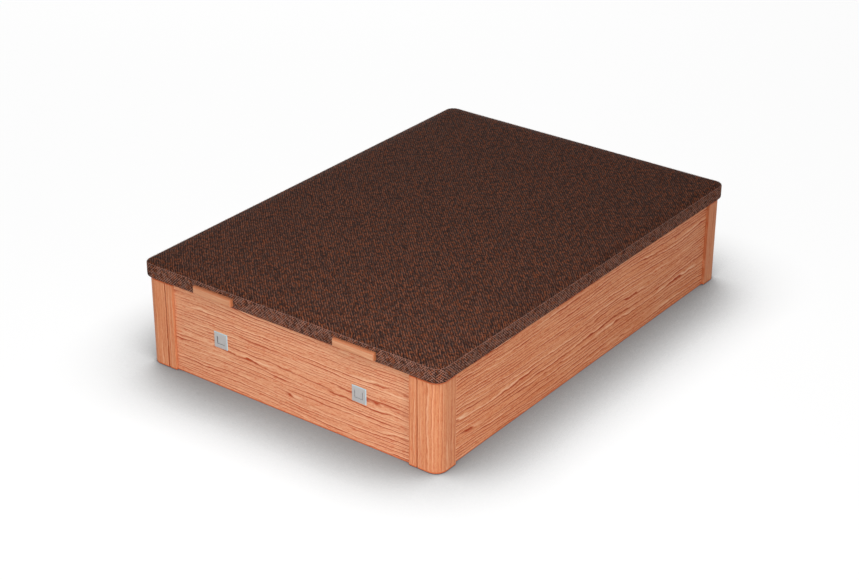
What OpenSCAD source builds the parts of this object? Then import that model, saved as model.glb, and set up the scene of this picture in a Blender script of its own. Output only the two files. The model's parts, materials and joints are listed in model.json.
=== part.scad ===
// Lift-up storage bed base: a wood-grained box with rounded corner posts under an
// upholstered lid, which opens from the foot end on two rear hinges and two gas struts.
// Origin: centre of the bed on the floor. +X right, +Y head end, +Z up. Millimetres.

/* [Lid] */
// Width of the lid, side to side
lid_w = 1350; // [900:10:1800]
// Length of the lid, foot to head
lid_l = 1900; // [1800:10:2100]
// Thickness of the whole upholstered lid
lid_t = 60; // [56:1:80]
// Radius of the lid's corners, seen from above
lid_corner_r = 42; // [34:1:60]
// Rounding of the lid's top and bottom edges
lid_edge_r = 8; // [5:0.5:10]
// Thickness of the spacer-mesh cover on the top and sides
cover_t = 2.5; // [1.5:0.5:3.5]
// Thickness of the cover's hem under the lid
hem_t = 1; // [0.6:0.2:1.4]
// Width of that hem
hem_w = 40; // [36:1:60]
// Thickness of the cloth that closes the underside
under_cloth_t = 0.8; // [0.4:0.1:0.8]
// Side of the square steel tube of the lid's frame
tube = 30; // [25:1:32]
// Wall of that tube
tube_wall = 1.5; // [1:0.5:2]
// Thickness of the deck board on the frame
deck_t = 10; // [8:1:12]
// Number of tubes across the frame
crossbar_count = 3; // [2:1:5]

/* [Box] */
// Height of the panels and posts
wall_h = 350; // [330:5:420]
// Thickness of the panels
panel_t = 19; // [16:1:22]
// How far the lid stands out past the posts, all round
overhang = 9.5; // [9.5:0.5:14]
// Gap between the rim and the lid
lid_gap = 3; // [3:0.5:5]
// Leg of a corner post on the foot and head faces
post_leg_x = 89; // [80:1:100]
// Leg of a corner post on the side faces
post_leg_y = 97; // [85:1:110]
// Rounding of a post's outer corner
post_r = 44; // [30:1:48]
// How far posts and stiles stand out in front of the panels
post_proud = 11.5; // [8:0.5:13]
// Width of the groove between a post and its stile
groove_w = 5; // [3:0.5:7]
// Width of the stile strips on the foot and head panels
stile_w = 32; // [26:1:36]

/* [Vents] */
// Side of a vent's square frame
vent_w = 63; // [60:1:70]
// Distance of a vent from the bed's middle
vent_x = 317.5; // [200:2.5:330]
// Height of a vent's middle above the floor
vent_z = 193; // [100:1:240]
// Side of the square hole through the panel
vent_hole = 50; // [48:1:54]
// Width of the air opening in the frame
vent_open = 39; // [36:1:42]
// Height of the air opening in the frame
vent_open_h = 29; // [26:1:42]
// Thickness of the frame's flange
vent_flange_t = 2.5; // [2:0.5:3]
// How far the collar reaches into the panel
vent_collar_l = 14; // [10:1:16]
// How far the inner plate is sunk behind the flange's face
vent_sunk = 4; // [3:0.5:6]
// Wide air slot on the plate's outer side
vent_slot = 5; // [3:0.5:6]
// Narrow air slot on the plate's three other sides
vent_slit = 1; // [0.8:0.1:2]

/* [Handles] */
// Length of a pull handle
handle_w = 180; // [120:5:220]
// Height of a handle
handle_h = 30; // [26:1:34]
// How far a handle stands out of the lid
handle_d = 15; // [14:1:20]
// Distance of a handle from the bed's middle
handle_x = 320; // [150:5:330]
// Distance from the lid's top down to a handle's top
handle_drop = 17; // [14:1:20]
// Rounding of a handle's front edges
handle_r = 5; // [3:0.5:7]

/* [Floor] */
// Side of the square cleats along the panels
cleat = 20; // [16:1:25]
// Height of the cleats' underside above the floor
cleat_z = 8; // [6:1:12]
// Thickness of the floor boards
board_t = 8; // [6:1:10]
// Width of the rails under the floor boards
floor_rail_w = 60; // [50:5:80]
// Diameter of the foot under the middle rail
centre_foot_d = 56; // [40:2:60]
// Height of the glides under the posts
glide_h = 3; // [2:0.5:5]
// Diameter of the glides
glide_d = 22; // [16:1:24]

/* [Corner brackets] */
// Leg of the steel angles in the box's corners
bracket_leg = 90; // [84:1:100]
// Height of those angles
bracket_h = 120; // [80:5:160]
// Thickness of the angles and of their legs
bracket_t = 2.5; // [2:0.5:3]

/* [Hinges] */
// Width of a hinge, along its pin
hinge_w = 70; // [60:2:76]
// Distance from the box's side to a hinge's middle
hinge_in = 85.5; // [84:0.5:88]
// Thickness of the leaves
leaf_t = 2; // [1.5:0.25:2.5]
// Diameter of the pin
pin_d = 5; // [4:0.5:5]
// Height of the leaf on the post
post_leaf_h = 60; // [50:2:80]
// Depth of the leaf under the lid
lid_leaf_l = 40; // [36:1:44]

/* [Lift] */
// Angle at which the struts stop the lid
open_angle = 45; // [35:1:45]
// Distance of both ends of a strut from the lid's pivot line
strut_arm = 300; // [290:2:310]
// Angle between those ends, seen from the pivot line, when shut
strut_shut_angle = 56.5; // [54:0.5:60]
// Depth of the struts' upper studs below the lid's pivot line
stud_drop = 14; // [12:0.5:18]
// Distance from a side panel's inner face to a strut's middle
strut_off = 18; // [17:0.5:24]
// Outer diameter of the gas cylinder
cylinder_d = 22; // [20:0.5:24]
// Wall of the gas cylinder
cylinder_wall = 1.7; // [1.2:0.1:2.2]
// Diameter of the piston rod
rod_d = 10; // [8:0.5:12]
// Diameter of the studs that carry the struts
stud_d = 8; // [6:0.5:9]
// Thickness of the eyes on the struts' ends
eye_w = 8; // [6:0.5:8]
// Distance from an eye's centre to the cylinder or rod
eye_l = 20; // [18:1:26]
// Gap between the lid frame's tube and the panel's inner face
lug_clear = 2; // [1.5:0.5:3]

/* [Fits] */
// Radial clearance of a pin or rod that turns or slides
run_fit = 0.06; // [0.02:0.01:0.1]
// Radial clearance of a screw or stud in a plate
plate_fit = 0.1; // [0.05:0.05:0.2]
// Gap between a soft part or a moving face and its neighbour
soft_fit = 0.3; // [0.2:0.05:0.4]
// Gap between the buffers and the shut lid
buffer_fit = 0.2; // [0.1:0.05:0.3]
// Play of the floor boards in the box
board_play = 0.5; // [0.3:0.1:1]

/* [Hidden] */

$fn = 64;
cut = 1; // how far a cutting solid runs past the face it cuts
left = -1;
right = 1;
foot = -1;
head = 1;

// Box
box_x = lid_w / 2 - overhang;
box_y = lid_l / 2 - overhang;
post_t = post_proud + panel_t;
in_x = box_x - post_t;
in_y = box_y - post_t;
rim_z = glide_h + wall_h;
floor_z = cleat_z + cleat + board_t;

// Lid
lid_z = rim_z + lid_gap;
lid_top = lid_z + lid_t;
frame_z = lid_z + hem_t;
frame_top = frame_z + tube;
deck_top = frame_top + deck_t;
rail_in_x = in_x - lug_clear;
frame_x = rail_in_x + tube;
side_pad = lid_w / 2 - frame_x;
frame_y = lid_l / 2 - side_pad;
rail_in_y = frame_y - tube;
frame_corner_r = lid_corner_r - side_pad;

// Hinges: the barrel lies behind the posts, under the overhang
barrel_r = pin_d / 2 + leaf_t;
pivot_y = box_y + soft_fit + barrel_r;
pivot_z = lid_z - soft_fit - barrel_r;
hinge_x = box_x - hinge_in;
lid_knuckle_w = hinge_w / 2;
pin_head_d = pin_d + 2;
pin_head_t = 1;

// Struts: both ends lie on one circle about the pivot line, so that a strut turns half as
// far as the lid
upper_angle = asin(stud_drop / strut_arm);
lower_angle = upper_angle + strut_shut_angle;
upper_y = pivot_y - strut_arm * cos(upper_angle);
upper_z = pivot_z - stud_drop;
lower_y = pivot_y - strut_arm * cos(lower_angle);
lower_z = pivot_z - strut_arm * sin(lower_angle);
strut_shut_l = 2 * strut_arm * sin(strut_shut_angle / 2);
strut_open_l = 2 * strut_arm * sin((strut_shut_angle + open_angle) / 2);
stroke = strut_open_l - strut_shut_l;
strut_tilt = atan2(lower_y - upper_y, upper_z - lower_z);
strut_x = in_x - strut_off;
eye_d = stud_d + 10;
stud_head_d = stud_d + 6;
stud_head_t = 4;
boss_d = stud_d + 8;
boss_x = strut_x + eye_w / 2 + soft_fit;
plate_t = 3;
plate_w = 44;
plate_down = 14;   // from the lower stud down to the plate's lower edge
plate_up = 46;     // and up to its upper edge
lug_t = 4;
rod_gap = 3;     // bare rod between the shut cylinder and the rod's eye
guide_t = 8;     // rod guide in the cylinder's mouth
piston_t = 6;
cylinder_end_t = 4;
stop_gap = 1.5;  // between piston and guide at the open limit
cylinder_z = eye_l + rod_gap;
piston_z = cylinder_z + guide_t + stroke + stop_gap;

// Fasteners
screw_d = 4;
screw_head_d = 8;
screw_head_t = 1.8;
wood_bite = 14;        // depth of a screw in wood
leaf_screw_l = 22;     // leaf screws on the posts
lid_leaf_screw_l = 12; // leaf screws into the lid's frame
buffer_d = 14;

// ---------- helpers ----------

// Builds a right-hand piece, or its mirror image for the left.
module on_side(side) {
    mirror([side < 0 ? 1 : 0, 0, 0]) children();
}

// Builds a piece of the head-right corner in any of the four corners.
module in_corner(side, end) {
    mirror([side < 0 ? 1 : 0, 0, 0]) mirror([0, end < 0 ? 1 : 0, 0]) children();
}

// A box from its lowest to its highest corner.
module block(low, high) {
    translate(low) cube(high - low);
}

module rounded_rect(w, l, r) {
    square([w - 2 * r, l], center = true);
    square([w, l - 2 * r], center = true);
    for (sx = [-1, 1], sy = [-1, 1])
        translate([sx * (w / 2 - r), sy * (l / 2 - r)]) circle(r);
}

function arc(centre, r, from, to, steps = 5) = [
    for (i = [0:steps])
        let (a = from + (to - from) * i / steps)
            centre + r * [cos(a), sin(a)]
];

// A slab with corners of radius r in plan and rounded top and bottom edges.
module soft_slab(w, l, h, r, edge) {
    hull()
        for (sx = [-1, 1], sy = [-1, 1])
            translate([sx * (w / 2 - r), sy * (l / 2 - r), 0])
                rotate_extrude($fn = 40)
                    polygon(concat(
                        [[0, 0]],
                        arc([r - edge, edge], edge, -90, 0),
                        arc([r - edge, h - edge], edge, 0, 90),
                        [[0, h]]
                    ));
}

// Wood screw along +Z with a pan head below z = 0.
module pan_screw(length) {
    translate([0, 0, -screw_head_t]) cylinder(d = screw_head_d, h = screw_head_t);
    cylinder(d = screw_d, h = length);
}

// The cone of a countersunk head, sunk in a leaf from z = 0 up.
module sunk_cone(play) {
    cylinder(r1 = screw_d + play, r2 = screw_d / 2 + play, h = leaf_t);
}

// Countersunk screw along +Z with its head flush at z = 0.
module sunk_screw(length) {
    sunk_cone(0);
    cylinder(d = screw_d, h = length);
}

// ---------- box ----------

module side_panel(side) {
    color("#c97f57")
        on_side(side)
            block([in_x, -box_y + post_leg_y, glide_h],
                  [in_x + panel_t, box_y - post_leg_y, rim_z]);
}

module end_panel(end) {
    panel_x = box_x - post_leg_x;
    color("#d08b68")
        in_corner(right, end)
            difference() {
                block([-panel_x, in_y, glide_h], [panel_x, in_y + panel_t, rim_z]);
                if (end == foot)
                    for (side = [left, right])
                        translate([side * vent_x - vent_hole / 2, in_y - cut, vent_z - vent_hole / 2])
                            cube([vent_hole, panel_t + 2 * cut, vent_hole]);
            }
}

module post(side, end) {
    color("#d18c67")
        in_corner(side, end)
            translate([box_x, box_y, glide_h])
                linear_extrude(wall_h)
                    difference() {
                        translate([-post_leg_x, -post_leg_y]) square([post_leg_x, post_leg_y]);
                        translate([-post_leg_x - cut, -post_leg_y - cut])
                            square([post_leg_x - post_t + cut, post_leg_y - post_t + cut]);
                        translate([-post_r, -post_r])
                            difference() {
                                square(post_r + cut);
                                circle(post_r);
                            }
                    }
}

module stile(side, end) {
    stile_x = box_x - post_leg_x - groove_w;
    color("#d18c67")
        in_corner(side, end)
            block([stile_x - stile_w, box_y - post_proud, glide_h], [stile_x, box_y, rim_z]);
}

// Middle height of the corner angles, halfway between the strut plates and the rim, and the
// places of their screws: along the leg and above or below that middle.
bracket_z = (lower_z + plate_up + rim_z) / 2;
bracket_holes = [
    for (along = [(post_leg_x - post_t) / 2, bracket_leg - 15], up = [-1, 1])
        [along, bracket_z + up * bracket_h / 3]
];

module bracket_leg_plate() {
    difference() {
        block([in_x - bracket_leg, in_y - bracket_t, bracket_z - bracket_h / 2],
              [in_x, in_y, bracket_z + bracket_h / 2]);
        for (hole = bracket_holes)
            translate([in_x - hole[0], in_y + cut, hole[1]])
                rotate([90, 0, 0]) cylinder(r = screw_d / 2 + plate_fit, h = bracket_t + 2 * cut);
    }
}

// Swaps X and Y about the inner corner, so that one leg gives the other.
module other_leg() {
    translate([in_x, in_y, 0]) mirror([1, -1, 0]) translate([-in_x, -in_y, 0]) children();
}

module corner_brackets() {
    color("silver")
        for (side = [left, right], end = [foot, head])
            in_corner(side, end) {
                bracket_leg_plate();
                other_leg() bracket_leg_plate();
            }
}

module bracket_leg_screws() {
    for (hole = bracket_holes)
        translate([in_x - hole[0], in_y - bracket_t, hole[1]])
            rotate([-90, 0, 0]) pan_screw(bracket_t + wood_bite);
}

module box_screws() {
    color("gray") {
        for (side = [left, right], end = [foot, head])
            in_corner(side, end) {
                bracket_leg_screws();
                other_leg() bracket_leg_screws();
            }
        for (side = [left, right])
            on_side(side) {
                for (place = plate_screw_places)
                    translate([in_x - plate_t, place[0], place[1]])
                        rotate([0, 90, 0]) pan_screw(plate_t + wood_bite);
                for (place = post_leaf_screw_places)
                    translate([place[0], box_y + leaf_t, place[1]])
                        rotate([90, 0, 0]) sunk_screw(leaf_screw_l);
            }
    }
}

module side_cleat(side) {
    color("tan")
        on_side(side) block([in_x - cleat, -in_y, cleat_z], [in_x, in_y, cleat_z + cleat]);
}

module end_cleat(end) {
    color("tan")
        in_corner(right, end)
            block([-in_x + cleat, in_y - cleat, cleat_z], [in_x - cleat, in_y, cleat_z + cleat]);
}

module floor_rail(y) {
    color("tan")
        block([-in_x + cleat, y - floor_rail_w / 2, cleat_z],
              [in_x - cleat, y + floor_rail_w / 2, cleat_z + cleat]);
}

module floor_board(end) {
    color("burlywood")
        in_corner(right, end)
            block([-in_x + board_play, board_play / 2, cleat_z + cleat],
                  [in_x - board_play, in_y - board_play, floor_z]);
}

module centre_foot() {
    color("dimgray") cylinder(d = centre_foot_d, h = cleat_z);
}

module post_glides() {
    color("dimgray")
        for (side = [left, right], end = [foot, head])
            in_corner(side, end) {
                translate([box_x - post_leg_x + post_t / 2, box_y - post_t / 2, 0])
                    cylinder(d = glide_d, h = glide_h);
                translate([box_x - post_t / 2, box_y - post_leg_y + post_t / 2, 0])
                    cylinder(d = glide_d, h = glide_h);
            }
}

// ---------- vents ----------

// Puts a vent piece in place: its x = 0, z = 0 is the vent's middle and its y = 0 the
// foot panel's face, with +Y into the panel.
module at_vent(side) {
    on_side(side) translate([vent_x, -in_y - panel_t, vent_z]) children();
}

module vent_frame(side) {
    collar_w = vent_hole - 2 * soft_fit;
    color("lightgray")
        at_vent(side)
            difference() {
                union() {
                    block([-vent_w / 2, -vent_flange_t, -vent_w / 2], [vent_w / 2, 0, vent_w / 2]);
                    block([-collar_w / 2, -cut, -collar_w / 2],
                          [collar_w / 2, vent_collar_l, collar_w / 2]);
                }
                block([-vent_open / 2, -vent_flange_t - cut, -vent_open_h / 2],
                      [vent_open / 2, vent_collar_l + cut, vent_open_h / 2]);
            }
}

// The sunk plate leaves a wide slot on the bed's outer side. Two ribs behind it reach the
// collar's top and bottom walls.
module vent_plates() {
    front = vent_sunk - vent_flange_t;
    plate_thick = 1.5;
    rib_w = 3;
    color("silver")
        for (side = [left, right])
            at_vent(side) {
                block([-vent_open / 2 + vent_slit, front, -vent_open_h / 2 + vent_slit],
                      [vent_open / 2 - vent_slot, front + plate_thick, vent_open_h / 2 - vent_slit]);
                for (x = [-vent_open / 4, vent_open / 8])
                    block([x - rib_w / 2, front + plate_thick, -vent_open_h / 2],
                          [x + rib_w / 2, vent_collar_l, vent_open_h / 2]);
            }
}

// ---------- rim ----------

buffer_places = [
    for (side = [left, right]) each [
        [side * (in_x + panel_t / 2), -in_y / 2],
        [side * (in_x + panel_t / 2), in_y / 2],
        [side * in_x / 2, -in_y - panel_t / 2]
    ]
];

module lid_buffers() {
    color("black")
        for (place = buffer_places)
            translate([place[0], place[1], rim_z])
                cylinder(d = buffer_d, h = lid_gap - buffer_fit);
}

// ---------- hinges ----------

knuckle_gap = soft_fit;
post_leaf_screw_places = [
    for (x = [-1, 1], z = [1 / 3, 3 / 4])
        [hinge_x + x * (hinge_w / 2 - 10), pivot_z - z * post_leaf_h]
];
lid_leaf_screw_places = [
    for (x = [-1, 0, 1])
        [hinge_x + x * (hinge_w / 2 - 10), (rail_in_y + frame_y) / 2]
];

// A round bar along X through the pivot line.
module barrel(x_from, x_to, r) {
    translate([x_from, pivot_y, pivot_z]) rotate([0, 90, 0]) cylinder(r = r, h = x_to - x_from);
}

module hinge_post_leaf(side) {
    free_w = lid_knuckle_w + 2 * knuckle_gap;
    color("silver")
        on_side(side)
            difference() {
                union() {
                    block([hinge_x - hinge_w / 2, box_y, pivot_z - post_leaf_h],
                          [hinge_x + hinge_w / 2, box_y + leaf_t, pivot_z]);
                    barrel(hinge_x - hinge_w / 2, hinge_x + hinge_w / 2, barrel_r);
                }
                block([hinge_x - free_w / 2, box_y - cut, pivot_z - barrel_r - knuckle_gap],
                      [hinge_x + free_w / 2, pivot_y + barrel_r + cut, pivot_z + barrel_r + cut]);
                barrel(hinge_x - hinge_w, hinge_x + hinge_w, pin_d / 2 + run_fit);
                for (place = post_leaf_screw_places)
                    translate([place[0], box_y + leaf_t, place[1]])
                        rotate([90, 0, 0]) sunk_cone(run_fit);
            }
}

module hinge_pins() {
    color("gray")
        for (side = [left, right])
            on_side(side) {
                barrel(hinge_x - hinge_w / 2 - pin_head_t, hinge_x + hinge_w / 2 + pin_head_t, pin_d / 2);
                for (x = [hinge_x - hinge_w / 2 - pin_head_t, hinge_x + hinge_w / 2])
                    barrel(x, x + pin_head_t, pin_head_d / 2);
            }
}

module hinge_lid_leaf(side) {
    post_knuckle_y = pivot_y - barrel_r - knuckle_gap;
    color("silver")
        on_side(side)
            difference() {
                union() {
                    block([hinge_x - hinge_w / 2, pivot_y - lid_leaf_l, lid_z - leaf_t],
                          [hinge_x + hinge_w / 2, post_knuckle_y, lid_z]);
                    block([hinge_x - lid_knuckle_w / 2, post_knuckle_y - cut, lid_z - leaf_t],
                          [hinge_x + lid_knuckle_w / 2, pivot_y, lid_z]);
                    barrel(hinge_x - lid_knuckle_w / 2, hinge_x + lid_knuckle_w / 2, barrel_r);
                }
                barrel(hinge_x - hinge_w, hinge_x + hinge_w, pin_d / 2 + run_fit);
                for (place = lid_leaf_screw_places)
                    translate([place[0], place[1], lid_z - leaf_t]) sunk_cone(run_fit);
            }
}

// ---------- lid ----------

// Everything inside the padding, rounded at the corners.
module frame_outline(grow = 0) {
    rounded_rect(2 * (frame_x + grow), 2 * (frame_y + grow), frame_corner_r + grow);
}

// Trims the frame's rails to its rounded corners.
module inside_outline() {
    intersection() {
        children();
        translate([0, 0, frame_z - cut]) linear_extrude(tube + 2 * cut) frame_outline();
    }
}

// Square tubes of the frame, at the lowest x or y that they reach.
module tube_along_y(x, y_from, y_to) {
    difference() {
        block([x, y_from, frame_z], [x + tube, y_to, frame_top]);
        block([x + tube_wall, y_from - cut, frame_z + tube_wall],
              [x + tube - tube_wall, y_to + cut, frame_top - tube_wall]);
    }
}

module tube_along_x(y, x_from, x_to) {
    difference() {
        block([x_from, y, frame_z], [x_to, y + tube, frame_top]);
        block([x_from - cut, y + tube_wall, frame_z + tube_wall],
              [x_to + cut, y + tube - tube_wall, frame_top - tube_wall]);
    }
}

module lid_side_rail(side) {
    color("dimgray")
        on_side(side) inside_outline() tube_along_y(rail_in_x, -frame_y, frame_y);
}

module lid_end_rail(end) {
    color("dimgray")
        in_corner(right, end)
            inside_outline() tube_along_x(rail_in_y, -rail_in_x, rail_in_x);
}

module lid_crossbars() {
    pitch = 2 * rail_in_y / (crossbar_count + 1);
    color("dimgray")
        for (i = [1:crossbar_count])
            tube_along_x(-rail_in_y + i * pitch - tube / 2, -rail_in_x, rail_in_x);
}

module deck_board() {
    color("burlywood")
        translate([0, 0, frame_top]) linear_extrude(deck_t) frame_outline();
}

// The space inside the cover, less a gap all round.
module cover_inside(gap) {
    inset = cover_t + gap;
    translate([0, 0, lid_z + hem_t + gap])
        soft_slab(lid_w - 2 * inset, lid_l - 2 * inset, lid_t - cover_t - hem_t - 2 * gap,
                  lid_corner_r - inset, lid_edge_r - inset);
}

module lid_foam() {
    color("lightyellow")
        difference() {
            cover_inside(soft_fit);
            translate([0, 0, lid_z - cut])
                linear_extrude(deck_top - lid_z + cut) frame_outline(soft_fit);
        }
}

// Room for the strut lugs, which come down through the lid's underside, out to out_x.
module lug_notches(out_x) {
    for (side = [left, right])
        on_side(side)
            block([lug_x - soft_fit, upper_y - lug_w / 2 - soft_fit, lid_z - cut],
                  [out_x, upper_y + lug_w / 2 + soft_fit, frame_z + cut]);
}

module lid_cover() {
    color("#4a332c")
        difference() {
            translate([0, 0, lid_z]) soft_slab(lid_w, lid_l, lid_t, lid_corner_r, lid_edge_r);
            cover_inside(0);
            block([-lid_w / 2 + hem_w, -lid_l / 2 + hem_w, lid_z - cut],
                  [lid_w / 2 - hem_w, lid_l / 2 - hem_w, lid_z + hem_t + cut]);
            lug_notches(rail_in_x + soft_fit);
        }
}

module under_cloth() {
    cloth_x = lid_w / 2 - hem_w - soft_fit;
    cloth_y = lid_l / 2 - hem_w - soft_fit;
    color("#2e2a28")
        difference() {
            block([-cloth_x, -cloth_y, frame_z - under_cloth_t], [cloth_x, cloth_y, frame_z]);
            lug_notches(cloth_x + cut);
        }
}

// A handle's section, with y = 0 on the lid's face and its front edges rounded.
module handle_section() {
    square([handle_d - handle_r, handle_h]);
    translate([0, handle_r]) square([handle_d, handle_h - 2 * handle_r]);
    for (z = [handle_r, handle_h - handle_r])
        translate([handle_d - handle_r, z]) circle(handle_r);
}

module handle_plan() {
    translate([-handle_w / 2, 0]) square([handle_w, handle_d - handle_r]);
    translate([-handle_w / 2 + handle_r, 0]) square([handle_w - 2 * handle_r, handle_d]);
    for (side = [-1, 1])
        translate([side * (handle_w / 2 - handle_r), handle_d - handle_r]) circle(handle_r);
}

module handle(side) {
    color("#d9925f")
        on_side(side)
            translate([handle_x, -lid_l / 2, lid_top - handle_drop - handle_h])
                mirror([0, 1, 0])
                    intersection() {
                        rotate([90, 0, 90])
                            translate([0, 0, -handle_w / 2]) linear_extrude(handle_w) handle_section();
                        linear_extrude(handle_h) handle_plan();
                    }
}

module lid_screws() {
    handle_screw_z = frame_top - screw_head_d;
    handle_screw_l = lid_l / 2 - rail_in_y + handle_d * 0.6;
    color("gray")
        for (side = [left, right])
            on_side(side) {
                for (place = lid_leaf_screw_places)
                    translate([place[0], place[1], lid_z - leaf_t]) sunk_screw(lid_leaf_screw_l);
                for (x = [-1, 1])
                    translate([handle_x + x * handle_w / 3, -rail_in_y, handle_screw_z])
                        rotate([90, 0, 0]) pan_screw(handle_screw_l);
            }
}

// ---------- struts ----------

// Puts a piece drawn along X = 0 with its axis along +X on a stud's middle line.
module across(y, z) {
    translate([0, y, z]) rotate([0, 90, 0]) children();
}

plate_screw_places = [
    for (dy = [-1, 1], z = [lower_z - plate_down + 7, lower_z + plate_up - 7])
        [lower_y + dy * (plate_w / 2 - 7), z]
];

module strut_plate(side) {
    color("silver")
        on_side(side)
            difference() {
                union() {
                    block([in_x - plate_t, lower_y - plate_w / 2, lower_z - plate_down],
                          [in_x, lower_y + plate_w / 2, lower_z + plate_up]);
                    across(lower_y, lower_z)
                        translate([0, 0, boss_x]) cylinder(d = boss_d, h = in_x - boss_x);
                }
                across(lower_y, lower_z)
                    translate([0, 0, boss_x - cut])
                        cylinder(r = stud_d / 2 + plate_fit, h = in_x - boss_x + 2 * cut);
                for (place = plate_screw_places)
                    across(place[0], place[1])
                        translate([0, 0, in_x - plate_t - cut])
                            cylinder(r = screw_d / 2 + plate_fit, h = plate_t + 2 * cut);
            }
}

lug_w = 24;
lug_foot_w = 56;
lug_x = rail_in_x - lug_t;

// Flat steel lug on the inner face of the lid's side rail, hanging into the box.
module strut_lug(side) {
    color("silver")
        on_side(side)
            difference() {
                union() {
                    block([lug_x, upper_y - lug_foot_w / 2, frame_z],
                          [rail_in_x, upper_y + lug_foot_w / 2, frame_top]);
                    block([lug_x, upper_y - lug_w / 2, upper_z],
                          [rail_in_x, upper_y + lug_w / 2, frame_z + cut]);
                    across(upper_y, upper_z) {
                        translate([0, 0, lug_x]) cylinder(d = lug_w, h = lug_t);
                        translate([0, 0, boss_x]) cylinder(d = boss_d, h = rail_in_x - boss_x);
                    }
                }
                across(upper_y, upper_z)
                    translate([0, 0, boss_x - cut])
                        cylinder(r = stud_d / 2 + plate_fit, h = rail_in_x - boss_x + 2 * cut);
            }
}

// A headed stud whose shank ends at x_end.
module stud(y, z, x_end) {
    head_x = strut_x - eye_w / 2 - soft_fit;
    across(y, z) {
        translate([0, 0, head_x - stud_head_t]) cylinder(d = stud_head_d, h = stud_head_t);
        translate([0, 0, head_x - cut]) cylinder(d = stud_d, h = x_end - head_x + cut);
    }
}

module strut_box_studs() {
    color("gray") for (side = [left, right]) on_side(side) stud(lower_y, lower_z, in_x);
}

module strut_lid_studs() {
    color("gray") for (side = [left, right]) on_side(side) stud(upper_y, upper_z, rail_in_x);
}

// Puts a strut piece in place: drawn along +Z from the lower eye's centre.
module along_strut(side) {
    translate([side * strut_x, lower_y, lower_z]) rotate([strut_tilt, 0, 0]) children();
}

module eye_blank(z) {
    translate([-eye_w / 2, 0, z]) rotate([0, 90, 0]) cylinder(d = eye_d, h = eye_w);
}

module eye_bore(z) {
    translate([-eye_w, 0, z]) rotate([0, 90, 0]) cylinder(r = stud_d / 2 + run_fit, h = 2 * eye_w);
}

module strut_rod(side) {
    piston_d = cylinder_d - 2 * cylinder_wall - 2 * run_fit;
    color("gainsboro")
        along_strut(side)
            difference() {
                union() {
                    eye_blank(0);
                    translate([0, 0, eye_d / 3]) cylinder(d = eye_w, h = eye_l - eye_d / 3);
                    translate([0, 0, eye_l]) cylinder(d = rod_d, h = piston_z + piston_t - eye_l);
                    translate([0, 0, piston_z]) cylinder(d = piston_d, h = piston_t);
                }
                eye_bore(0);
            }
}

module strut_cylinder(side) {
    tube_end = strut_shut_l - eye_l;
    color("#26282a")
        along_strut(side)
            difference() {
                union() {
                    eye_blank(strut_shut_l);
                    translate([0, 0, tube_end]) cylinder(d = eye_w, h = eye_l - eye_d / 3);
                    translate([0, 0, cylinder_z]) cylinder(d = cylinder_d, h = tube_end - cylinder_z);
                }
                eye_bore(strut_shut_l);
                translate([0, 0, cylinder_z - cut])
                    cylinder(r = rod_d / 2 + run_fit, h = guide_t + 2 * cut);
                translate([0, 0, cylinder_z + guide_t])
                    cylinder(r = cylinder_d / 2 - cylinder_wall,
                             h = tube_end - cylinder_z - guide_t - cylinder_end_t);
            }
}

// ---------- nodes ----------

end_panel(foot);  // foot_panel
end_panel(head);  // head_panel
side_panel(left);  // left_panel
side_panel(right);  // right_panel
post(left, foot);  // post_foot_left
post(right, foot);  // post_foot_right
post(left, head);  // post_head_left
post(right, head);  // post_head_right
stile(left, foot);  // stile_foot_left
stile(right, foot);  // stile_foot_right
stile(left, head);  // stile_head_left
stile(right, head);  // stile_head_right
corner_brackets();
box_screws();
end_cleat(foot);  // cleat_foot
end_cleat(head);  // cleat_head
side_cleat(left);  // cleat_left
side_cleat(right);  // cleat_right
floor_rail(-in_y / 2);  // floor_rail_foot
floor_rail(0);  // floor_rail_middle
floor_rail(in_y / 2);  // floor_rail_head
floor_board(foot);  // floor_board_foot
floor_board(head);  // floor_board_head
centre_foot();
post_glides();
vent_frame(left);  // vent_frame_left
vent_frame(right);  // vent_frame_right
vent_plates();
lid_buffers();
hinge_post_leaf(left);  // hinge_post_leaf_left
hinge_post_leaf(right);  // hinge_post_leaf_right
hinge_pins();
strut_plate(left);  // strut_plate_left
strut_plate(right);  // strut_plate_right
strut_box_studs();
lid_end_rail(foot);  // lid_rail_foot
lid_end_rail(head);  // lid_rail_head
lid_side_rail(left);  // lid_rail_left
lid_side_rail(right);  // lid_rail_right
lid_crossbars();
deck_board();
lid_foam();
lid_cover();
under_cloth();
handle(left);  // handle_left
handle(right);  // handle_right
lid_screws();
hinge_lid_leaf(left);  // hinge_lid_leaf_left
hinge_lid_leaf(right);  // hinge_lid_leaf_right
strut_lug(left);  // strut_lug_left
strut_lug(right);  // strut_lug_right
strut_lid_studs();
strut_cylinder(left);  // strut_cylinder_left
strut_cylinder(right);  // strut_cylinder_right
strut_rod(left);  // strut_rod_left
strut_rod(right);  // strut_rod_right
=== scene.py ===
"""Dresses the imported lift-up storage bed base: cherry-grained box, woven lid, metalwork, stage."""

import json
import math
from functools import cache

import bmesh
import bpy
from bpy.props import FloatProperty, FloatVectorProperty, IntProperty, PointerProperty, StringProperty
from mathutils import Matrix, Vector


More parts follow.
